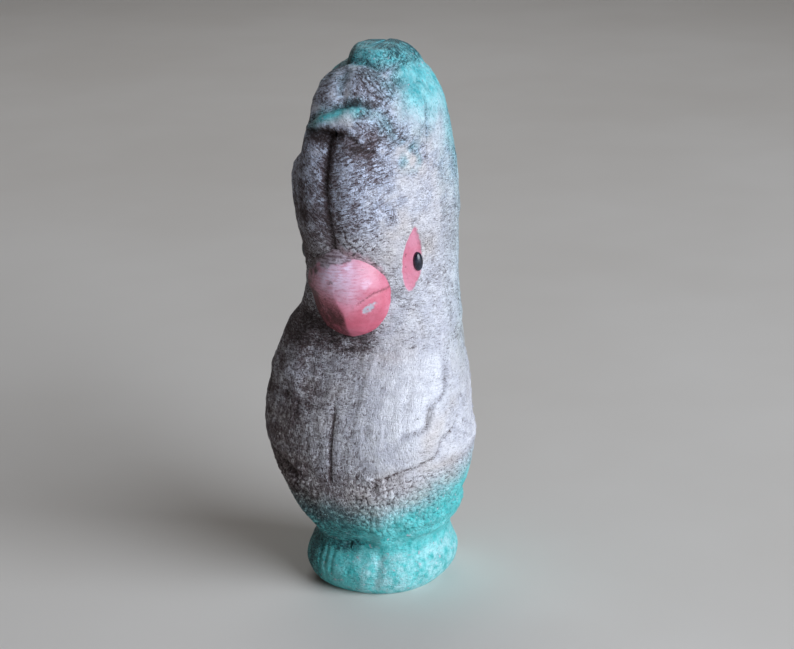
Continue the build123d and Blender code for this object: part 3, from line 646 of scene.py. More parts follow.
def build_half(name, sign):
    X, Y, Z, TH, S, W = GRIDS[sign]
    n = normals_of(X, Y, Z, sign)
    f = HALVES[sign]
    # the top tuft leans a little to the bird's left
    knob = (1.0 if sign > 0 else -1.0) * ss(172.5, 177.0, Z)
    corner = ss(174.0, TOP, Z) * np.maximum(hump(-116, -84, 26, TH), 0.35 * hump(122, 168, 30, TH))
    P = np.stack([X * (1 + np.where(knob > 0, 0.06, 0.14) * knob), Y, Z + 0.35 * ss(176, TOP, Z)], axis=-1)
    P = P + n * (f["d"] + 0.9 * corner)[..., None]
    rim = 1 - 0.07 * ss(178.6, TOP, Z) ** 2
    P[..., 0] *= rim
    P[..., 1] = 5.0 + (P[..., 1] - 5.0) * rim
    P[:, 0, 0] = 0.0
    P[:, -1, 0] = 0.0
    P[..., 0] = sign * np.maximum(sign * P[..., 0], 0.0)
    P[..., 2] = np.clip(P[..., 2], 0.0, TOP + 1.4)
    P[0, :, 2] = 0.0
    masks = np.stack([f["turquoise"], f["dirt_and_shade"], f["pink"], f["tone_and_lit_side"]], axis=-1)
    extra = np.stack([S, W, f["upright"], f["rise"], f["fall"]], axis=-1)

    # the crown closes towards the seam plane
    rows = [P[r] for r in range(NV + 1)]
    mask_rows = [masks[r] for r in range(NV + 1)]
    extra_rows = [extra[r] for r in range(NV + 1)]
    for k in range(1, CAP + 1):
        u = k / CAP
        q = P[NV].copy()
        q[:, 0] *= 1 - u
        q[:, 2] += 0.4 * (1 - (1 - u) ** 2) * np.sin(np.linspace(0, math.pi, NU + 1)) ** 0.7
        rows.append(q)
        mask_rows.append(masks[NV])
        e = extra[NV].copy()
        e[:, 0] *= 1 - u
        e[:, 1] += 4 * u
        extra_rows.append(e)
    outer = np.array(rows)
    R = len(rows)

    # the inner wall, row for row with the outer one
    inner = np.zeros((R, NI + 1, 3))
    t_in = np.linspace(0, math.pi, NI + 1)
    for r in range(R):
        zo = min(rows[r][NU // 2, 2], TOP) if r <= NV else TOP
        zi = FLOOR_Z + (HOLLOW_TOP - FLOOR_Z) * (np.interp(r, [0, NV], [0, 1]) if r <= NV else 1.0)
        a, f, b, yc = [float(v) for v in form_at(zi)]
        k = float(np.interp(zi, INSET[:, 0], INSET[:, 1]))
        mix = float(ss(FLOOR_Z, 13.0, zi))
        s, c = np.sin(t_in), np.cos(t_in)
        kx = np.abs(s) ** POWER
        kc = np.abs(c) ** POWER
        xi = (a - k) * kx
        yi = np.where(c > 0, yc - (f - k + yc) * kc, yc + (b - k - yc) * kc)
        xi = mix * xi + (1 - mix) * PLUG_SPIGOT * s
        yi = mix * yi - (1 - mix) * PLUG_SPIGOT * c
        if r > NV:
            xi = xi * (1 - (r - NV) / CAP)
        xi[0] = xi[-1] = 0.0
        inner[r, :, 0], inner[r, :, 1], inner[r, :, 2] = sign * xi, yi, zi
    ring = []
    for rad, zz in ((PLUG_FLANGE, 0.0), (PLUG_FLANGE, PLUG_H), (PLUG_SPIGOT, PLUG_H)):
        q = np.stack([sign * rad * np.sin(t_in), -rad * np.cos(t_in), np.full(NI + 1, zz)], axis=-1)
        q[0, 0] = q[-1, 0] = 0.0
        ring.append(q)
    ring = np.array(ring)

    verts = np.concatenate([outer.reshape(-1, 3), inner.reshape(-1, 3), ring.reshape(-1, 3)])
    o_id = np.arange(R * (NU + 1)).reshape(R, NU + 1)
    i_id = o_id.size + np.arange(R * (NI + 1)).reshape(R, NI + 1)
    r_id = o_id.size + i_id.size + np.arange(3 * (NI + 1)).reshape(3, NI + 1)
    faces = []

    def sheet(ids, flip):
        q = np.stack([ids[:-1, :-1], ids[:-1, 1:], ids[1:, 1:], ids[1:, :-1]], axis=-1).reshape(-1, 4)
        return q[:, ::-1] if flip else q

    quads = [sheet(o_id, sign < 0), sheet(i_id, sign > 0),
             sheet(np.concatenate([r_id, i_id[:1]]), sign < 0)]
    # rims in the seam plane
    fr = np.stack([i_id[:-1, 0], o_id[:-1, 0], o_id[1:, 0], i_id[1:, 0]], axis=-1)
    bk = np.stack([o_id[:-1, -1], i_id[:-1, -1], i_id[1:, -1], o_id[1:, -1]], axis=-1)
    quads += [fr if sign > 0 else fr[:, ::-1], bk if sign > 0 else bk[:, ::-1]]
    quads = np.concatenate(quads)

    tris = []

    def fan(fine, coarse, flip):
        per = NU // NI
        for j in range(NI):
            for i in range(per):
                a, b = fine[j * per + i], fine[j * per + i + 1]
                c = coarse[j] if i < per // 2 else coarse[j + 1]
                tris.append((a, b, c) if flip else (b, a, c))
            a = fine[j * per + per // 2]
            tris.append((a, coarse[j + 1], coarse[j]) if flip else (a, coarse[j], coarse[j + 1]))

    fan(o_id[0], r_id[0], sign < 0)
    fan(o_id[-1], i_id[-1], sign > 0)
    sides = [[o_id[0, 0], r_id[0, 0], r_id[1, 0], r_id[2, 0], i_id[0, 0]],
             [i_id[0, -1], r_id[2, -1], r_id[1, -1], r_id[0, -1], o_id[0, -1]]]
    polys = [list(map(int, q)) for q in quads] + [list(map(int, q)) for q in tris]
    polys += [list(map(int, q if sign < 0 else q[::-1])) for q in sides]

    mesh = bpy.data.meshes.new(name)
    mesh.from_pydata((verts * MM).tolist(), [], polys)
    mesh.update()
    mesh.polygons.foreach_set("use_smooth", np.ones(len(mesh.polygons), bool))

    count = len(verts)
    full = np.zeros((count, 4))
    full[:, 3] = 0.5
    full[: o_id.size] = np.array(mask_rows).reshape(-1, 4)
    for k, key in enumerate(("turquoise", "dirt_and_shade", "pink", "tone_and_lit_side")):
        layer = mesh.attributes.new(key, "FLOAT", "POINT")
        layer.data.foreach_set("value", full[:, k].astype(np.float32))
    place = np.zeros((count, 5))
    place[: o_id.size] = np.array(extra_rows).reshape(-1, 5)
    place[o_id.size:, :2] = verts[o_id.size:, 1:]
    flat = np.concatenate([place[:, :2], np.zeros((count, 1))], axis=1)
    layer = mesh.attributes.new("place", "FLOAT_VECTOR", "POINT")
    layer.data.foreach_set("vector", flat.astype(np.float32).ravel())
    layer = mesh.attributes.new("lay", "FLOAT_VECTOR", "POINT")
    layer.data.foreach_set("vector", np.clip(place[:, 2:], 0, 1).astype(np.float32).ravel())
    layer = mesh.attributes.new("bare", "FLOAT", "POINT")
    layer.data.foreach_set("value", (np.arange(count) >= o_id.size).astype(np.float32))
    mesh.set_sharp_from_angle(angle=math.radians(70))
    obj = bpy.data.objects.new(name, mesh)
    bpy.context.collection.objects.link(obj)
    return obj


left = build_half("shell_left", 1)
right = build_half("shell_right", -1)

# ------------------------------------------------------------------------- beak
# height, half width at the face, how far the ridge stands out in y, sharpness
BEAK = np.array([
    [90.4, 3.0, -23.0, 0.55], [91.4, 6.6, -24.2, 0.7], [93.0, 9.6, -25.9, 0.8], [95.5, 11.8, -28.0, 0.8],
    [98.5, 13.2, -29.8, 0.62], [102.8, 14.2, -31.3, 0.28], [107.0, 14.4, -31.7, 0.08], [111.5, 13.4, -31.2, 0.02],
    [115.0, 11.4, -29.9, 0.0], [117.5, 8.6, -28.7, 0.0], [119.3, 5.4, -28.05, 0.0], [120.6, 2.0, -27.8, 0.0]])


def face_y(x, z):
    a, f, b, yc = form_at(z)
    k = np.clip(1 - (np.abs(x) / a) ** 2.3, 0, 1) ** (1 / 2.3)
    return yc - (f + yc) * k


def build_beak():
    nv, nf, nb = 120, 132, 40
    zs = BEAK[0, 0] + (BEAK[-1, 0] - BEAK[0, 0]) * (0.5 - 0.5 * np.cos(np.linspace(0, math.pi, nv + 1)))
    w = pchip(BEAK[:, 0], BEAK[:, 1], zs)
    ridge = pchip(BEAK[:, 0], BEAK[:, 2], zs)
    sharp = pchip(BEAK[:, 0], BEAK[:, 3], zs)
    phi = np.linspace(-math.pi / 2, math.pi / 2, nf + 1)
    ph, Z = np.meshgrid(phi, zs)
    Wd, Rd, Sh = (np.repeat(v[:, None], nf + 1, axis=1) for v in (w, ridge, sharp))
    lean = 2.7 * hump(92.0, 99.0, 8.0, Z) + 0.6 * hump(99.0, 108.0, 6.0, Z)
    X = Wd * np.sin(ph)
    side = face_y(Wd, Z) + 0.7
    prof = (1 - Sh) * np.cos(ph) ** (1.05 + 0.9 * ss(109, 119, Z)) + Sh * (1 - np.abs(np.sin(ph)) ** 1.2) ** 1.0
    X = X + lean * np.clip(prof, 0, 1)
    Y = side - (side - Rd) * np.clip(prof, 0, 1)
    P = np.stack([X, Y, Z], axis=-1)
    n = np.cross(np.gradient(P, axis=1), np.gradient(P, axis=0))
    n /= np.linalg.norm(n, axis=-1, keepdims=True) + 1e-12
    d = np.zeros(X.shape)
    u = np.abs(X)
    # gape: a curved line on each side, the lower mandible a little set back under it
    line = np.interp(u, [0, 3, 7.6, 11.8, 14.8], [93.6, 97.8, 103.4, 106.4, 107.6])
    sd = Z - line
    on = ss(6.0, 9.5, X) + ss(6.0, 9.5, -X)
    d += on * ledge(sd, 0.18, 4.0, -0.35, 6.0, 0.35) * 1.0
    d += -0.42 * on * np.exp(-((sd - 0.05) / 0.5) ** 2)
    # a chip in the paint below the gape on the bird's left, small pits elsewhere
    chip = np.exp(-(((X - 10.2) * 0.7 + (Z - 101.4) * 0.71) / 2.7) ** 2 - (((Z - 101.4) * 0.7 - (X - 10.2) * 0.71) / 1.0) ** 2)
    chip = ss(0.3, 0.6, chip + 0.2 * noise(X / 0.6, Z / 0.6, 60))
    d += -0.22 * chip
    d += 0.22 * fractal(X / 6, Z / 6, 61, 3)
    d += 0.05 * noise(X / 3.2, Z / 0.8, 63)
    pits = ss(0.55, 0.75, noise(X / 1.1, Z / 1.1, 64)) * ss(0.0, 0.5, noise(X / 6, Z / 6, 65) + 0.3 * (X < 3))
    d += -0.16 * pits
    d *= ss(0.0, 2.5, Wd - u)
    P = P + n * d[..., None]
    # paler on the top of the beak and on its lit side: worn paint and a painted sheen
    wear_and_sheen = (1.15 * np.exp(-(((X + 0.5) / 8.5) ** 2 + ((Z - 112.5) / 6.0) ** 2)) + 0.5 * ss(0.2, 0.7, fractal(X / 5, Z / 5, 66, 3))
            + 0.35 * np.exp(-(((X - 6.0) / 3.0) ** 2 + ((Z - 106.0) / 4.0) ** 2)))
    patchy = fractal(X / 2.4, Z / 2.4, 67, 3)
    rim = (ss(0.62, 1.0, u / Wd + 0.22 * patchy) * ss(109.0, 114.0, Z + 0.15 * X) * (1 - ss(-2.0, 3.0, X))
           + ss(113.6, 118.6, Z + 2.8 * patchy - 0.16 * X) * (1 - 0.8 * ss(3.0, 7.0, X)))
    top_edge = np.clip(rim, 0, 1)
    gap = on * np.exp(-((sd - 0.05) / 0.55) ** 2)
    # painted shade: the side turned away from the light, the bird's right, is darkened in the colour; dirt lies in the
    # gape, in the pits, along the top edge and in specks high on that side
    shade_away_from_light = ss(-0.8, 1.6, lean - X + 0.5 * patchy) * (1 - ss(97.0, 109.0, Z + 0.4 * X + 2.5 * patchy))
    far_side_shade = ss(5.0, 9.5, -X + 1.6 * patchy)
    cold = ss(102.0, 111.0, Z + 1.5 * patchy) * (1 - ss(-3.0, 5.0, X + 2.0 * patchy))
    soil_and_shade = np.clip(0.55 * gap + 0.3 * pits + 0.25 * top_edge * (1 - ss(0, 9, X)) + (0.66 + 0.45 * patchy) * shade_away_from_light + (0.42 + 0.3 * patchy) * far_side_shade
                   + 0.5 * ss(0.25, 0.6, patchy) * ss(104, 112, Z) * (1 - ss(-2, 5, X)) + 0.10, 0, 1)

    # the seat: follows the face, a little inside it
    back = np.linspace(1, -1, nb + 1)[1:-1]
    Bx = w[:, None] * back[None, :]
    Bz = np.repeat(zs[:, None], nb - 1, axis=1)
    By = face_y(Bx, Bz) + 0.9
    B = np.stack([Bx, By, Bz], axis=-1)
    ringv = np.concatenate([P, B], axis=1)
    cols = ringv.shape[1]
    ids = np.arange((nv + 1) * cols).reshape(nv + 1, cols)
    nxt = np.roll(ids, -1, axis=1)
    quads = np.stack([ids[:-1], nxt[:-1], nxt[1:], ids[1:]], axis=-1).reshape(-1, 4)
    polys = [list(map(int, q)) for q in quads]
    polys.append([int(v) for v in ids[0][::-1]])
    polys.append([int(v) for v in ids[-1]])
    mesh = bpy.data.meshes.new("beak_cast")
    mesh.from_pydata((ringv.reshape(-1, 3) * MM).tolist(), [], polys)
    mesh.update()
    mesh.polygons.foreach_set("use_smooth", np.ones(len(mesh.polygons), bool))
    for key, front in (("wear_and_sheen", wear_and_sheen), ("soil_and_shade", soil_and_shade), ("chip", chip), ("low", ss(-0.3, 0.3, -sd)), ("top", top_edge), ("cold", cold)):
        full = np.zeros((nv + 1, cols))
        full[:, : nf + 1] = np.clip(front, 0, 1)
        layer = mesh.attributes.new(key, "FLOAT", "POINT")
        layer.data.foreach_set("value", full.astype(np.float32).ravel())
    mesh.set_sharp_from_angle(angle=math.radians(60))
    obj = bpy.data.objects.new("beak_cast", mesh)
    bpy.context.collection.objects.link(obj)
    return obj


beak = build_beak()

# ------------------------------------------------------------------------- eyes


def build_eye(name, sign):
    """Oval cabochon: rounded face, straight stub behind."""
    t = math.radians(EYE_AT[0])
    z0 = EYE_AT[1]
    step = 1e-3
    px, py = [float(v) for v in section(np.array(t), np.array(z0))]
    qx, qy = [float(v) for v in section(np.array(t + step), np.array(z0))]
    ux, uy = [float(v) for v in section(np.array(t), np.array(z0 + 0.5))]
    tan = Vector((sign * (qx - px), qy - py, 0)).normalized()
    up = Vector((sign * (ux - px), uy - py, 0.5)).normalized()
    nrm = tan.cross(up).normalized()
    if nrm.x * sign < 0:
        nrm = -nrm
    up = (up - nrm * up.dot(nrm)).normalized()
    tan = up.cross(nrm).normalized()
    centre = Vector((sign * px, py, z0))
    hw, hh, proud, depth = 1.82, 3.25, 1.4, 2.9
    seg, dome = 56, 16
    rings = []
    for k in range(1, dome + 1):
        q = k / dome * math.pi / 2
        rings.append((math.sin(q), proud * math.cos(q) + 0.05))
    rings += [(1.0, -0.25), (0.985, -depth + 0.35), (0.9, -depth)]
    verts = [centre + nrm * (proud + 0.05)]
    for rad, out in rings:
        for i in range(seg):
            p = 2 * math.pi * i / seg
            verts.append(centre + tan * (hw * rad * math.cos(p)) + up * (hh * rad * math.sin(p)) + nrm * out)
    verts.append(centre - nrm * depth)
    last = len(verts) - 1
    polys = []
    for i in range(seg):
        polys.append((0, 1 + i, 1 + (i + 1) % seg))
    for k in range(len(rings) - 1):
        for i in range(seg):
            a, b = 1 + k * seg + i, 1 + k * seg + (i + 1) % seg
            polys.append((a, a + seg, b + seg, b))
    base = 1 + (len(rings) - 1) * seg
    for i in range(seg):
        polys.append((last, base + (i + 1) % seg, base + i))
    mesh = bpy.data.meshes.new(name)
    mesh.from_pydata([tuple(v * MM) for v in verts], [], polys)
    mesh.update()
    mesh.polygons.foreach_set("use_smooth", np.ones(len(mesh.polygons), bool))
    mesh.set_sharp_from_angle(angle=math.radians(50))
    obj = bpy.data.objects.new(name, mesh)
    bpy.context.collection.objects.link(obj)
    return obj


eye_l = build_eye("eye_left", 1)
eye_r = build_eye("eye_right", -1)


# -------------------------------------------------------------------- materials
class Nodes:
    """Short hand for building a node tree."""

    def __init__(self, name):
        self.mat = bpy.data.materials.new(name)
        self.mat.use_nodes = True
        self.tree = self.mat.node_tree
        self.tree.nodes.clear()
        self.out = self.tree.nodes.new("ShaderNodeOutputMaterial")
        self.bsdf = self.tree.nodes.new("ShaderNodeBsdfPrincipled")
        self.tree.links.new(self.bsdf.outputs[0], self.out.inputs[0])

    def add(self, kind, **props):
        node = self.tree.nodes.new(kind)
        for key, value in props.items():
            setattr(node, key, value)
        return node

    def put(self, socket, value):
        if isinstance(value, bpy.types.NodeSocket):
            self.tree.links.new(value, socket)
        else:
            socket.default_value = value

    def attr(self, name, field="Fac"):
        node = self.add("ShaderNodeAttribute", attribute_name=name)
        return node.outputs[field]

    def math(self, op, a, b=None, c=None, clamp=False):
        node = self.add("ShaderNodeMath", operation=op, use_clamp=clamp)
        for k, v in enumerate((a, b, c)):
            if v is not None:
                self.put(node.inputs[k], v)
        return node.outputs[0]

    def span(self, value, lo, hi, to_lo=0.0, to_hi=1.0):
        node = self.add("ShaderNodeMapRange", interpolation_type="SMOOTHSTEP", clamp=True)
        for k, v in enumerate((value, lo, hi, to_lo, to_hi)):
            self.put(node.inputs[k], v)
        return node.outputs[0]

    def scaled(self, vector, factors):
        node = self.add("ShaderNodeVectorMath", operation="MULTIPLY")
        self.put(node.inputs[0], vector)
        node.inputs[1].default_value = factors
        return node.outputs[0]

    def turned(self, vector, degrees):
        node = self.add("ShaderNodeVectorRotate", rotation_type="Z_AXIS")
        self.put(node.inputs["Vector"], vector)
        node.inputs["Angle"].default_value = math.radians(degrees)
        return node.outputs[0]

    def parts(self, vector):
        node = self.add("ShaderNodeSeparateXYZ")
        self.put(node.inputs[0], vector)
        return node.outputs[0], node.outputs[1], node.outputs[2]

    def noise(self, vector, scale, detail=3.0, rough=0.55, distort=0.0):
        node = self.add("ShaderNodeTexNoise", noise_dimensions="3D")
        self.put(node.inputs["Vector"], vector)
        node.inputs["Scale"].default_value = scale
        node.inputs["Detail"].default_value = detail
        node.inputs["Roughness"].default_value = rough
        node.inputs["Distortion"].default_value = distort
        return node.outputs[0]

    def mix(self, fac, a, b, blend="MIX"):
        node = self.add("ShaderNodeMix", data_type="RGBA", blend_type=blend, clamp_factor=True)
        self.put(node.inputs[0], fac)
        self.put(node.inputs[6], a)
        self.put(node.inputs[7], b)
        return node.outputs[2]

    def blend(self, fac, a, b):
        node = self.add("ShaderNodeMix", data_type="FLOAT", clamp_factor=True)
        self.put(node.inputs[0], fac)
        self.put(node.inputs[2], a)
        self.put(node.inputs[3], b)
        return node.outputs[0]

    def bump(self, height, strength, distance):
        node = self.add("ShaderNodeBump")
        node.inputs["Strength"].default_value = strength
        node.inputs["Distance"].default_value = distance
        self.put(node.inputs["Height"], height)
        return node.outputs[0]

    def coords(self, kind="Object"):
        return self.add("ShaderNodeTexCoord").outputs[kind]


def rgb(r, g, b):
    """A colour from 8-bit display values."""
    def lin(v):
        v /= 255.0
        return v / 12.92 if v <= 0.04045 else ((v + 0.055) / 1.055) ** 2.4
    return (lin(r), lin(g), lin(b), 1.0)


def painted_plaster():
    k = Nodes("painted_plaster")
    place = k.attr("place", "Vector")
    turq, dirt_and_shade, pink, tone_and_lit_side, bare = (k.attr(n) for n in ("turquoise", "dirt_and_shade", "pink", "tone_and_lit_side", "bare"))
    upright, rise, fall = k.parts(k.attr("lay", "Vector"))
    obj = k.coords()

    # feather strokes finer than the mesh, combed four ways
    lev = k.noise(k.scaled(place, (0.70, 2.2, 1.0)), 1.0, 3.0, 0.6, 0.7)
    upr = k.noise(k.scaled(place, (2.1, 0.70, 1.0)), 1.0, 3.0, 0.6, 0.9)
    ris = k.noise(k.scaled(k.turned(place, -20.0), (0.42, 1.9, 1.0)), 1.0, 3.0, 0.6, 0.9)
    fal = k.noise(k.scaled(k.turned(place, 38.0), (0.45, 1.9, 1.0)), 1.0, 3.0, 0.6, 0.9)
    comb = k.blend(fall, k.blend(rise, k.blend(upright, lev, upr), ris), fal)
    weave = k.noise(k.scaled(place, (2.1, 1.3, 1.0)), 1.0, 3.0, 0.6, 0.4)
    comb = k.math("ADD", k.math("MULTIPLY", comb, 1.75), k.math("MULTIPLY_ADD", weave, 0.75, -0.75))
    speck = k.noise(obj, 1600.0, 3.0, 0.6)
    grain = k.noise(obj, 5200.0, 2.0, 0.6)
    cloud = k.noise(obj, 95.0, 4.0, 0.6)
    blot = k.noise(obj, 240.0, 4.0, 0.65)

    # soft stains, thin crossing lines and small dark spots
    stain_n = k.noise(k.scaled(place, (0.50, 0.56, 1.0)), 1.0, 5.0, 0.62, 0.6)
    web_n = k.noise(k.scaled(place, (0.24, 0.95, 1.0)), 1.0, 3.0, 0.6, 0.9)
    web_m = k.noise(k.scaled(place, (0.95, 0.24, 1.0)), 1.0, 3.0, 0.6, 0.9)
    web = k.math("MAXIMUM", k.span(k.math("ABSOLUTE", k.math("SUBTRACT", web_n, 0.5)), 0.0, 0.035, 1.0, 0.0),
                 k.span(k.math("ABSOLUTE", k.math("SUBTRACT", web_m, 0.5)), 0.0, 0.030, 0.8, 0.0))
    spot_n = k.noise(k.scaled(place, (1.1, 1.3, 1.0)), 1.0, 2.0, 0.5, 0.3)

    # bare and painted colours
    white = k.mix(k.span(blot, 0.36, 0.66), rgb(209, 210, 221), rgb(231, 232, 240))
    # whiter where the dirt value is lowest: clean paint, and a painted light on the lit side of the breast and wing
    white = k.mix(k.math("MULTIPLY", k.span(dirt_and_shade, 0.04, 0.12, 1.0, 0.0), k.span(blot, 0.3, 0.6, 0.4, 0.9)), white, rgb(241, 242, 249))
    white = k.mix(k.math("MULTIPLY", k.span(tone_and_lit_side, 0.35, 0.95), 0.7), white, rgb(226, 216, 210))
    high = k.span(k.parts(obj)[2], 0.117, 0.138)
    # painted cool light: higher up, where the white is dirty, it turns bluish like sky light falling on the forehead
    # and crest
    white = k.mix(k.math("MULTIPLY", high, k.span(dirt_and_shade, 0.15, 0.42, 0.0, 0.8)), white, rgb(214, 226, 252))
    aqua = k.mix(k.span(blot, 0.34, 0.64), rgb(28, 179, 179), rgb(88, 213, 213))
    aqua = k.mix(k.math("MULTIPLY", high, 0.4), aqua, k.mix(k.span(blot, 0.34, 0.64), rgb(14, 152, 176), rgb(76, 200, 222)))
    loose = k.math("MULTIPLY", turq, k.math("SUBTRACT", 1.3, turq))
    fac = k.math("ADD", turq, k.math("MULTIPLY", k.math("SUBTRACT", speck, 0.5), k.math("MULTIPLY", 1.3, loose)), clamp=True)
    fac = k.math("MULTIPLY", fac, k.blend(k.span(turq, 0.75, 1.0), k.span(comb, 0.25, 0.7, 1.0, 0.76), 0.97))
    colour = k.mix(fac, white, aqua)
    # the turquoise is rubbed thin in patches and has come away in flecks; the thin patches pale most on the lit side of
    # the foot, a painted light
    thin = k.math("MULTIPLY", k.span(k.noise(obj, 300.0, 4.0, 0.68), 0.32, 0.68), k.span(turq, 0.4, 0.95))
    colour = k.mix(k.math("MULTIPLY", thin, k.span(tone_and_lit_side, 0.1, 0.9, 0.25, 0.95)), colour, rgb(186, 236, 240))
    fleck = k.math("MULTIPLY", k.span(k.noise(obj, 520.0, 3.0, 0.65), 0.63, 0.70), k.span(turq, 0.5, 0.95))
    colour = k.mix(k.math("MULTIPLY", fleck, 0.75), colour, rgb(214, 196, 208))
    rose = k.mix(k.span(cloud, 0.35, 0.7), rgb(196, 111, 132), rgb(208, 138, 159))
    colour = k.mix(pink, colour, rose)

    # dirt and painted shade: a thin film, stains in the hollows, lines in the strokes, spots; the same marks darken the
    # side away from the light
    keep = k.math("SUBTRACT", 1.0, k.math("MULTIPLY", pink, 0.8))
    film = k.math("MULTIPLY", k.span(dirt_and_shade, 0.06, 1.0, 0.0, 0.24), k.span(blot, 0.32, 0.66, 1.2, 0.75))
    colour = k.mix(film, colour, k.mix(turq, rgb(126, 109, 107), rgb(58, 122, 124)))
    stain = k.span(k.math("MULTIPLY_ADD", dirt_and_shade, 0.34, stain_n), 0.60, 0.76)
    stain = k.math("MULTIPLY", k.math("MULTIPLY", stain, k.span(dirt_and_shade, 0.05, 0.7, 0.30, 0.70)), keep)
    colour = k.mix(stain, colour, k.mix(turq, rgb(101, 84, 86), rgb(38, 96, 104)))
    height_left = k.math("SUBTRACT", comb, k.math("MULTIPLY_ADD", dirt_and_shade, 0.26, 0.30))
    fill = k.span(height_left, -0.06, 0.06, 1.0, 0.0)
    fill = k.math("MULTIPLY", k.math("MULTIPLY", fill, k.span(dirt_and_shade, 0.03, 0.5, 0.36, 0.90)), keep)
    colour = k.mix(fill, colour, k.mix(turq, rgb(74, 56, 60), rgb(24, 78, 90)))
    web = k.math("MULTIPLY", k.math("MULTIPLY", web, k.span(dirt_and_shade, 0.08, 0.5, 0.14, 0.82)), keep)
    colour = k.mix(web, colour, k.mix(turq, rgb(90, 72, 70), rgb(36, 92, 98)))
    spot = k.span(k.math("MULTIPLY_ADD", dirt_and_shade, 0.10, spot_n), 0.655, 0.71)
    spot = k.math("MULTIPLY", k.math("MULTIPLY", spot, k.span(dirt_and_shade, 0.12, 0.5, 0.0, 0.75)), keep)
    colour = k.mix(spot, colour, k.mix(turq, rgb(50, 43, 49), rgb(30, 62, 66)))
    deep = k.math("MULTIPLY", k.span(dirt_and_shade, 0.78, 1.0), k.span(comb, 0.7, 0.4, 0.6, 1.0))
    colour = k.mix(k.math("MULTIPLY", deep, 0.7), colour, rgb(52, 42, 40))
    # tiny dark pits
    pit = k.span(k.noise(obj, 900.0, 2.0, 0.5), 0.70, 0.75)
    colour = k.mix(k.math("MULTIPLY", pit, 0.5), colour, rgb(76, 70, 72))
    colour = k.mix(bare, colour, rgb(214, 208, 198))
    k.put(k.bsdf.inputs["Base Color"], colour)

    rough = k.blend(turq, k.span(speck, 0.2, 0.8, 0.66, 0.9), k.span(speck, 0.2, 0.8, 0.46, 0.64))
    rough = k.blend(pink, rough, k.span(speck, 0.2, 0.8, 0.38, 0.52))
    rough = k.blend(deep, rough, 0.9)
    k.put(k.bsdf.inputs["Roughness"], rough)
    k.bsdf.inputs["Specular IOR Level"].default_value = 0.4

    height = k.math("MULTIPLY", comb, k.math("SUBTRACT", 1.0, k.math("MULTIPLY", pink, 0.85)))
    height = k.math("MULTIPLY", height, k.blend(turq, 1.0, 0.75))
    height = k.math("ADD", height, k.math("MULTIPLY", grain, 0.08))
    height = k.math("SUBTRACT", height, k.math("MULTIPLY", pit, 0.3))
    height = k.math("SUBTRACT", height, k.math("MULTIPLY", web, 0.5))
    height = k.math("SUBTRACT", height, k.math("MULTIPLY", stain_n, 0.8))
    k.put(k.bsdf.inputs["Normal"], k.bump(height, 0.9, 0.0006))
    return k.mat


def beak_paint():
    k = Nodes("beak_paint")
    wear_and_sheen, soil_and_shade, chip, low, top, cold = (k.attr(n) for n in ("wear_and_sheen", "soil_and_shade", "chip", "low", "top", "cold"))
    obj = k.coords()
    cloud = k.noise(obj, 160.0, 4.0, 0.6)
    speck = k.noise(obj, 1500.0, 3.0, 0.6)
    hair = k.noise(k.scaled(obj, (420.0, 420.0, 1500.0)), 1.0, 3.0, 0.6)
    scratch = k.noise(k.scaled(k.turned(obj, 20.0), (900.0, 900.0, 2600.0)), 1.0, 3.0, 0.65)
    pink = k.mix(k.span(cloud, 0.35, 0.68), rgb(193, 94, 115), rgb(208, 122, 143))
    pink = k.mix(k.math("MULTIPLY", low, 0.25), pink, rgb(204, 92, 112))
    # worn paint and a painted sheen turn the pink pale lavender
    pale = k.math("MULTIPLY", wear_and_sheen, k.span(hair, 0.3, 0.6, 0.45, 1.0))
    pink = k.mix(pale, pink, rgb(236, 210, 234))
    edge = k.math("MULTIPLY", k.span(k.math("ADD", top, k.math("MULTIPLY", k.math("SUBTRACT", speck, 0.5), 1.2)), 0.3, 0.7), 0.85)
    pink = k.mix(edge, pink, k.mix(k.span(hair, 0.42, 0.58), rgb(112, 104, 112), rgb(196, 190, 202)))
    pink = k.mix(k.math("MULTIPLY", chip, k.span(speck, 0.3, 0.5)), pink, rgb(176, 174, 186))
    # painted shade: dark red-brown on the bird's right of the beak, greyer higher up, with dirt in the gape, pits and
    # along the top edge
    grime_and_shade = k.span(k.math("SUBTRACT", k.math("MULTIPLY", soil_and_shade, 1.5), k.math("ADD", k.span(speck, 0.3, 0.7, 0.1, 0.7), k.math("MULTIPLY", hair, 0.5))), -0.5, 0.9)
    pink = k.mix(k.math("MULTIPLY", grime_and_shade, 0.9), pink, k.mix(cold, rgb(72, 40, 38), rgb(104, 98, 96)))
    pink = k.mix(k.span(scratch, 0.66, 0.72, 0.0, 0.6), pink, rgb(96, 62, 68))
    k.put(k.bsdf.inputs["Base Color"], pink)
    k.put(k.bsdf.inputs["Roughness"], k.blend(grime_and_shade, k.span(cloud, 0.3, 0.7, 0.34, 0.5), 0.75))
    k.bsdf.inputs["Specular IOR Level"].default_value = 0.5
    height = k.math("ADD", k.math("MULTIPLY", hair, 0.5), k.math("MULTIPLY", speck, 0.4))
    k.put(k.bsdf.inputs["Normal"], k.bump(height, 0.5, 0.00022))
    return k.mat


def eye_gloss():
    k = Nodes("eye_gloss")
    obj = k.coords()
    smear = k.noise(obj, 700.0, 3.0, 0.6)
    k.put(k.bsdf.inputs["Base Color"], k.mix(k.span(smear, 0.4, 0.7), rgb(14, 17, 30), rgb(34, 40, 60)))
    k.put(k.bsdf.inputs["Roughness"], k.span(smear, 0.3, 0.75, 0.22, 0.36))
    k.bsdf.inputs["Coat Weight"].default_value = 0.35
    k.bsdf.inputs["Coat Roughness"].default_value = 0.16
    k.put(k.bsdf.inputs["Normal"], k.bump(k.noise(obj, 400.0, 2.0, 0.5), 0.12, 0.0002))
    return k.mat


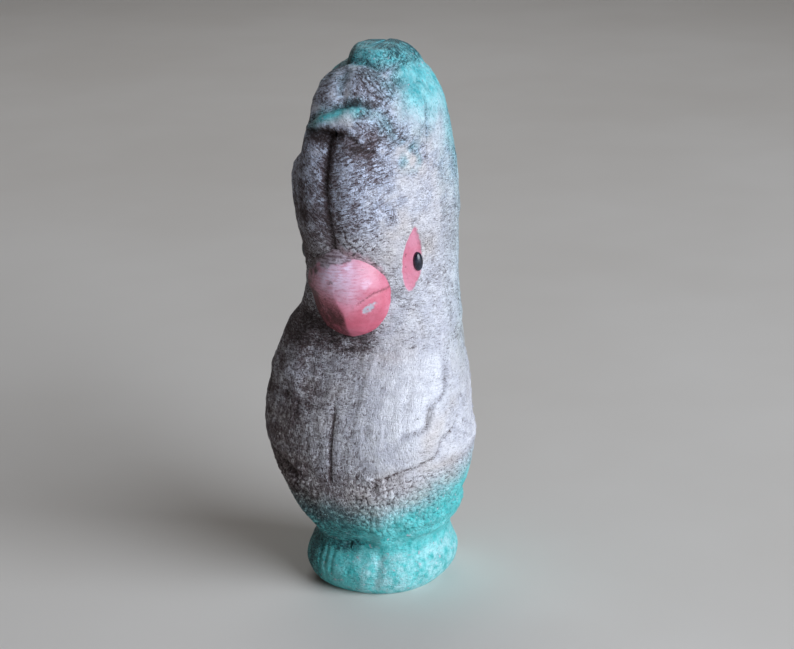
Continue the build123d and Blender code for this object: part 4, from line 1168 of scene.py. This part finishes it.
def raw_plaster():
    k = Nodes("raw_plaster")
    obj = k.coords()
    cloud = k.noise(obj, 110.0, 4.0, 0.6)
    grit = k.noise(obj, 2200.0, 4.0, 0.65)
    colour = k.mix(k.span(cloud, 0.34, 0.7), rgb(222, 215, 204), rgb(196, 186, 172))
    colour = k.mix(k.span(grit, 0.62, 0.74), colour, rgb(126, 116, 104))
    k.put(k.bsdf.inputs["Base Color"], colour)
    k.put(k.bsdf.inputs["Roughness"], k.span(grit, 0.2, 0.8, 0.8, 0.96))
    k.put(k.bsdf.inputs["Normal"], k.bump(k.math("ADD", grit, cloud), 0.5, 0.0004))
    return k.mat


def floor_paint():
    k = Nodes("pale_floor")
    obj = k.coords()
    cloud = k.noise(obj, 3.0, 4.0, 0.6)
    k.put(k.bsdf.inputs["Base Color"], k.mix(k.span(cloud, 0.3, 0.7), rgb(214, 209, 202), rgb(222, 218, 212)))
    k.put(k.bsdf.inputs["Roughness"], k.span(cloud, 0.3, 0.7, 0.9, 1.0))
    k.bsdf.inputs["Specular IOR Level"].default_value = 0.12
    k.put(k.bsdf.inputs["Normal"], k.bump(k.noise(obj, 260.0, 3.0, 0.6), 0.08, 0.0004))
    return k.mat


def dress(obj, mat, body=True):
    obj.data.materials.clear()
    obj.data.materials.append(mat)


shell_mat, beak_mat, eye_mat, raw_mat = painted_plaster(), beak_paint(), eye_gloss(), raw_plaster()
for obj, mat, node, slot in ((left, shell_mat, "left_shell", "painted_plaster"),
                             (right, shell_mat, "right_shell", "painted_plaster"),
                             (beak, beak_mat, "beak", "pink_plaster"),
                             (eye_l, eye_mat, "left_eye", "eye_gloss"),
                             (eye_r, eye_mat, "right_eye", "eye_gloss")):
    dress(obj, mat)
    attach(obj, "root")
    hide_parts(node)
for node in ("seam_slip", "base_plug"):
    dress(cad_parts[node], raw_mat)

# ------------------------------------------------------------- floor and lights
floor_mesh = bpy.data.meshes.new("floor")
floor_mesh.from_pydata([(-4, -4, 0), (4, -4, 0), (4, 4, 0), (-4, 4, 0)], [], [(0, 1, 2, 3)])
floor = bpy.data.objects.new("floor", floor_mesh)
bpy.context.collection.objects.link(floor)
dress(floor, floor_paint())


def area_light(name, azimuth, elevation, distance, size, power, colour, aim=(0, 0, 0.09), spread=180):
    """azimuth in degrees from the front (-Y) towards +X."""
    az, el = math.radians(azimuth), math.radians(elevation)
    way = Vector((math.sin(az) * math.cos(el), -math.cos(az) * math.cos(el), math.sin(el)))
    data = bpy.data.lights.new(name, "AREA")
    data.shape = "RECTANGLE"
    data.size, data.size_y = size
    data.energy = power
    data.spread = math.radians(spread)
    data.color = colour
    obj = bpy.data.objects.new(name, data)
    obj.location = Vector(aim) + way * distance
    obj.rotation_euler = way.to_track_quat("Z", "Y").to_euler()
    bpy.context.collection.objects.link(obj)
    return obj


area_light("key", 78, 19, 1.5, (1.35, 1.2), 16.2, (0.84, 0.905, 1.0), spread=110)
area_light("fill", -25, 35, 1.5, (1.0, 1.0), 0.22, (1.0, 0.80, 0.70))
area_light("rear", 212, 38, 1.8, (1.4, 1.2), 3.4, (0.96, 0.97, 1.0), spread=110)
world = bpy.data.worlds.new("studio")
world.use_nodes = True
world.node_tree.nodes["Background"].inputs[0].default_value = (1.0, 0.90, 0.84, 1.0)
world.node_tree.nodes["Background"].inputs[1].default_value = 0.05
bpy.context.scene.world = world
bpy.context.scene.view_settings.view_transform = "Standard"

# ----------------------------------------------------------------------- camera
AZ, EL, DIST, ROLL = 27.0, 18.0, 0.723, 1.6
az, el, roll = math.radians(AZ), math.radians(EL), math.radians(ROLL)
right_v = Vector((math.cos(az), math.sin(az), 0))
back_v = Vector((math.sin(az) * math.cos(el), -math.cos(az) * math.cos(el), math.sin(el)))
up_v = back_v.cross(right_v)
target = Vector((0, 0, 0.087)) + right_v * 0.0061
r2 = right_v * math.cos(roll) - up_v * math.sin(roll)
u2 = right_v * math.sin(roll) + up_v * math.cos(roll)
cam_data = bpy.data.cameras.new("camera")
cam_data.sensor_fit = "HORIZONTAL"
cam_data.sensor_width = 36.0
cam_data.lens = 2171.0 / 794.0 * 36.0
cam_data.clip_start = 0.01
cam_data.clip_end = 50.0
cam = bpy.data.objects.new("camera", cam_data)
cam.matrix_world = Matrix.Translation(target + back_v * DIST) @ Matrix((r2, u2, back_v)).transposed().to_4x4()
bpy.context.collection.objects.link(cam)
bpy.context.scene.camera = cam
